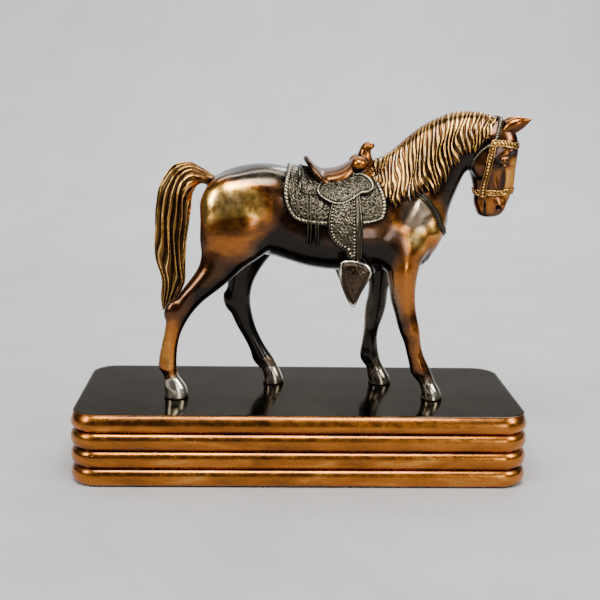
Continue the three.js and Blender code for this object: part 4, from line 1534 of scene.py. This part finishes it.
def make_mane(material):
    """A sheet of hair on the near side of the neck, combed into wavy locks."""
    columns, rows = ((450, 104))
    crest = evenly(smooth_line(CREST, 10), 0.05)
    ends = evenly(smooth_line(MANE_ENDS, 10), 0.05)
    u = np.linspace(0, 1, columns)
    top = crest[(u * (len(crest) - 1)).astype(int)]
    low = ends[(u * (len(ends) - 1)).astype(int)]
    locks = 31
    lengths = rng.uniform(0.84, 1.1, locks + 1)
    share = np.interp(u * locks, np.arange(locks + 1), lengths)
    point = 1 - 0.13 * (1 - np.abs(np.sin(math.pi * u * locks)))
    v = np.linspace(0, 1, rows)[:, None] ** 1.15
    reach = v * (share * point)
    sway = 1.3 * np.sin(3.3 * math.pi * reach + 8 * u) * reach * (1 - 0.3 * reach)
    sweep = -3.6 * np.sin(math.pi * reach) * (0.5 + 0.5 * u)
    x = top[:, 0] * (1 - reach) + low[:, 0] * reach + sway + sweep
    z = (top[:, 1] - 0.4) * (1 - reach) + low[:, 1] * reach - 1.2 * np.sin(math.pi * reach)
    flat = np.stack([x.ravel(), z.ravel()], 1)
    points = on_side(neck_and_head, flat, NEAR)
    points[:columns, 1] += 1.5
    points = project(neck_and_head, points, rounds=3, reach=4)
    normals = unit(gradient(neck_and_head, points, 0.8))
    wander = 0.2 * np.sin(7 * reach + 23 * u) + 0.14 * np.sin(14 * reach + 61 * u)
    phase = u * locks + wander
    tip = np.clip((1 - v) / 0.05, 0, 1)
    broad = (0.5 + 0.5 * np.cos(2 * math.pi * phase)) ** 1.5
    fine = (0.5 + 0.5 * np.cos(6 * math.pi * phase + 3 * np.sin(4 * reach + 9 * u))) ** 1.3
    start = np.clip((reach - 0.05) / 0.12, 0, 1)
    pattern = (1.15 * broad + 0.45 * fine) * start
    heights = (1.0 + 0.9 * np.clip(reach * 5, 0, 1) + pattern) * np.sqrt(tip) - 0.6 * (1 - tip)
    wear_and_light = (0.24 + 0.85 * (0.62 * broad**1.3 + 0.38 * fine)) * start + 0.4 * (1 - start)
    wear_and_light = wear_and_light - 0.16 * np.clip(reach * 1.4 - 0.6, 0, 1) * (u > 0.35)
    normals = normals.reshape(rows, columns, 3)
    made = sheet_object(
        "combed_mane", points.reshape(rows, columns, 3), normals, heights,
        np.ones((rows, columns), bool), -1.6, wear_and_light,
    )
    finish_piece(made, material, "hair_copper", "mane")


# Slices of the tail from dock to tip: [outer x, z, inner x, z, half width, y]
TAIL = [
    [-48, 165.4, -50, 159, 2, 0],
    [-51.5, 168, -53, 160.5, 3, 0],
    [-56.5, 171, -56.4, 161.6, 4, 0],
    [-63, 174, -59, 160.4, 5, -0.5],
    [-71, 172.6, -61, 157, 5.8, -1],
    [-78.8, 163, -62.2, 151.6, 6.4, -1.5],
    [-82.2, 148, -63, 143, 6.6, -2],
    [-83, 130, -65, 128, 6.4, -3],
    [-82.4, 119, -65.6, 116, 6.2, -4],
    [-79, 107, -66, 105.4, 5.6, -5],
    [-79.4, 96.5, -69.6, 98.2, 4.4, -6],
    [-78.4, 90, -75.6, 91, 2.2, -7],
]


def make_tail(material):
    """A bundle of long wavy locks that leaves the dock, bends over and hangs to the hock."""
    rows, columns = ((300, 230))
    slices = smooth_rows(TAIL, rows)
    v = np.linspace(0, 1, rows)[:, None]
    turn = np.linspace(0, 2 * math.pi, columns, endpoint=False)[None]
    centre = (slices[:, 0:2] + slices[:, 2:4]) / 2
    reach = (slices[:, 0:2] - slices[:, 2:4]) / 2
    locks = 14
    wander = 0.3 * np.sin(8 * v + 2 * turn) + 0.16 * np.sin(19 * v + 3 * turn)
    phase = turn / (2 * math.pi) * locks + wander
    broad = (0.5 + 0.5 * np.cos(2 * math.pi * phase)) ** 1.2
    fine = (0.5 + 0.5 * np.cos(6 * math.pi * phase + 2 * np.sin(9 * v))) ** 1.2
    grown = np.clip(v / 0.2, 0.15, 1)
    pattern = (0.75 * broad + 0.25 * fine) * grown
    swell = 0.86 + 0.17 * pattern + 0.12 * (1 - grown)
    x = centre[:, :1] + reach[:, :1] * np.cos(turn) * swell
    z = centre[:, 1:] + reach[:, 1:] * np.cos(turn) * swell
    y = slices[:, 5:6] + slices[:, 4:5] * np.sin(turn) * (1.7 * swell - 0.7)
    wear_and_light = 0.14 + 0.8 * pattern**1.5 + 0.12 * (1 - grown) + 0 * turn
    wear_and_light += 0.22 * np.clip(1 - v / 0.28, 0, 1)
    made = rings_object("flowing_tail", np.stack([x, y, z], -1), {"wear_and_light": wear_and_light})
    finish_piece(made, material, "hair_copper", "tail")


def make_ears(material):
    """Leaf-shaped ears that point forward, each cupped towards the front."""
    for side, word in SIDES:
        root = np.array([112.4, side * 4.4, 192.6])
        tip = np.array([127.9, side * 6.4, 200.6])
        ahead = unit((tip - root)[None])[0]
        out = unit(np.cross(ahead, [0, 0, 1.0])[None])[0] * -side
        up = np.cross(ahead, out)
        up = up if up[2] > 0 else -up
        t = np.linspace(0, 1, 46)[:, None, None]
        turn = np.linspace(0, 2 * math.pi, 56, endpoint=False)[None, :, None]
        half = 0.12 + 4.5 * np.sin(math.pi * (0.17 + 0.83 * t))
        opening = math.radians(-50)
        away = np.abs((turn - opening + math.pi) % (2 * math.pi) - math.pi)
        cup = 1 - 0.62 * np.exp(-((away / 0.75) ** 2)) * np.clip(t * 5, 0, 1) * (1 - 0.7 * t)
        arc = root + (tip - root) * t + up * 0.9 * np.sin(math.pi * t)
        ring = arc + half * cup * (np.cos(turn) * out * 0.72 + np.sin(turn) * up)
        wear_and_light = (0.52 - 0.75 * (1 - cup)) + 0 * turn
        made = rings_object("cupped_ear_" + word, ring, {"wear_and_light": wear_and_light})
        finish_piece(made, material, "horse_copper", "ear_" + word)


# ---------------------------------------------------------------- floor, light and camera


def add_stage():
    """A pale cloth floor that curves up into a backdrop, with painted shade that darkens it towards the
    front.
    """
    radius, back, front, side, height = 300, 640, -1500, 1700, 1500
    turn = np.linspace(0, math.pi / 2, 17)
    curve = [(y, 0.0) for y in np.linspace(front, back, 24)]
    curve += [(back + radius * math.sin(a), radius * (1 - math.cos(a))) for a in turn[1:]]
    curve += [(back + radius, z) for z in np.linspace(radius, height, 14)[1:]]
    rows = [[(x, y, z) for x in np.linspace(-side, side, 40)] for y, z in curve]
    made = mesh_object("backdrop", np.array(rows).reshape(-1, 3), grid_faces(len(rows), 40))
    paint = Paint("pale_cloth", metallic=0.0)
    cloud = paint.band(paint.noise(60, detail=6), 0.3, 0.7, -0.08, 0.08)
    # Painted shade: the cloth is darker towards the front and lighter towards the back.
    away = paint.node("ShaderNodeSeparateXYZ", {"Vector": paint.place}).outputs["Y"]
    tone = paint.math("ADD", cloud, paint.band(away, -0.1, 0.75, 0.1, 0.9))
    paint.set("Base Color", paint.ramp(tone, {0.0: (0.33, 0.315, 0.30), 1.0: (0.56, 0.57, 0.59)}))
    paint.shader.inputs["Roughness"].default_value = 0.9
    paint.set("Normal", paint.bump(paint.noise(3, detail=3), 0.4))
    made.data.materials.append(paint.material)


def add_light(name, place, size, power, aim=(0, 0, 110)):
    light = bpy.data.lights.new(name, "AREA")
    light.shape = "RECTANGLE"
    light.size, light.size_y = size[0] * MM, size[1] * MM
    light.energy = power
    made = bpy.data.objects.new(name, light)
    made.location = Vector(place) * MM
    made.rotation_euler = (Vector(aim) - Vector(place)).to_track_quat("-Z", "Y").to_euler()
    bpy.context.collection.objects.link(made)


def add_lights():
    add_light("overhead", (-60, -480, 860), (620, 340), 15)
    add_light("right_window", (760, -460, 620), (300, 420), 8)
    add_light("left_window", (-820, -480, 560), (240, 420), 7)
    add_light("low_window", (420, -900, 240), (160, 320), 1.5)
    add_light("rear_window", (380, 680, 820), (520, 240), 5)
    add_light("backdrop_wash", (0, 430, 1300), (1600, 400), 13, aim=(0, 780, 200))
    world = bpy.data.worlds.new("room")
    world.use_nodes = True
    world.node_tree.nodes["Background"].inputs["Color"].default_value = (0.85, 0.9, 1.0, 1)
    world.node_tree.nodes["Background"].inputs["Strength"].default_value = 0.09
    bpy.context.scene.world = world


CAMERA_PLACE = (-23.05, -631.87, 226.01)
CAMERA_TURNS = (11.71, 2.11, 0.98)  # degrees down, to the right, and tilted
LENS, SENSOR = 66.9, 36


def add_camera():
    """The camera at the photograph's viewing angle: a little to the left and above."""
    camera = bpy.data.cameras.new("camera")
    camera.lens, camera.sensor_width = LENS, SENSOR
    made = bpy.data.objects.new("camera", camera)
    down, right, tilt = (math.radians(angle) for angle in CAMERA_TURNS)
    turn = Matrix.Rotation(-right, 4, "Z") @ Matrix.Rotation(math.pi / 2 - down, 4, "X")
    made.matrix_world = (
        Matrix.Translation(Vector(CAMERA_PLACE) * MM)
        @ turn @ Matrix.Rotation(tilt, 4, "Z")
    )
    bpy.context.collection.objects.link(made)
    bpy.context.scene.camera = made


# ---------------------------------------------------------------- everything together

add_stage()
add_lights()
add_camera()
finish_kept_nodes()
make_plinth()
make_skin()
antique = leather_antique()
make_blanket(antique)
make_rear_skirt(antique)
make_jockeys(antique)
make_fenders(antique)
make_strings(antique)
make_saddle(metal("seat_copper", COPPER, gloss=(0.2, 0.34)))
make_tapaderos(metal("tapadero_bronze", BRONZE, coat=0.15))
make_bridle(antique, metal("bridle_gold", HAIR))
make_breast_collar_and_cinch(antique)
hair = metal("hair_copper", HAIR, blotch=0.2, nook=3.0)
make_mane(hair)
make_tail(hair)
make_ears(metal("ear_copper", COPPER))
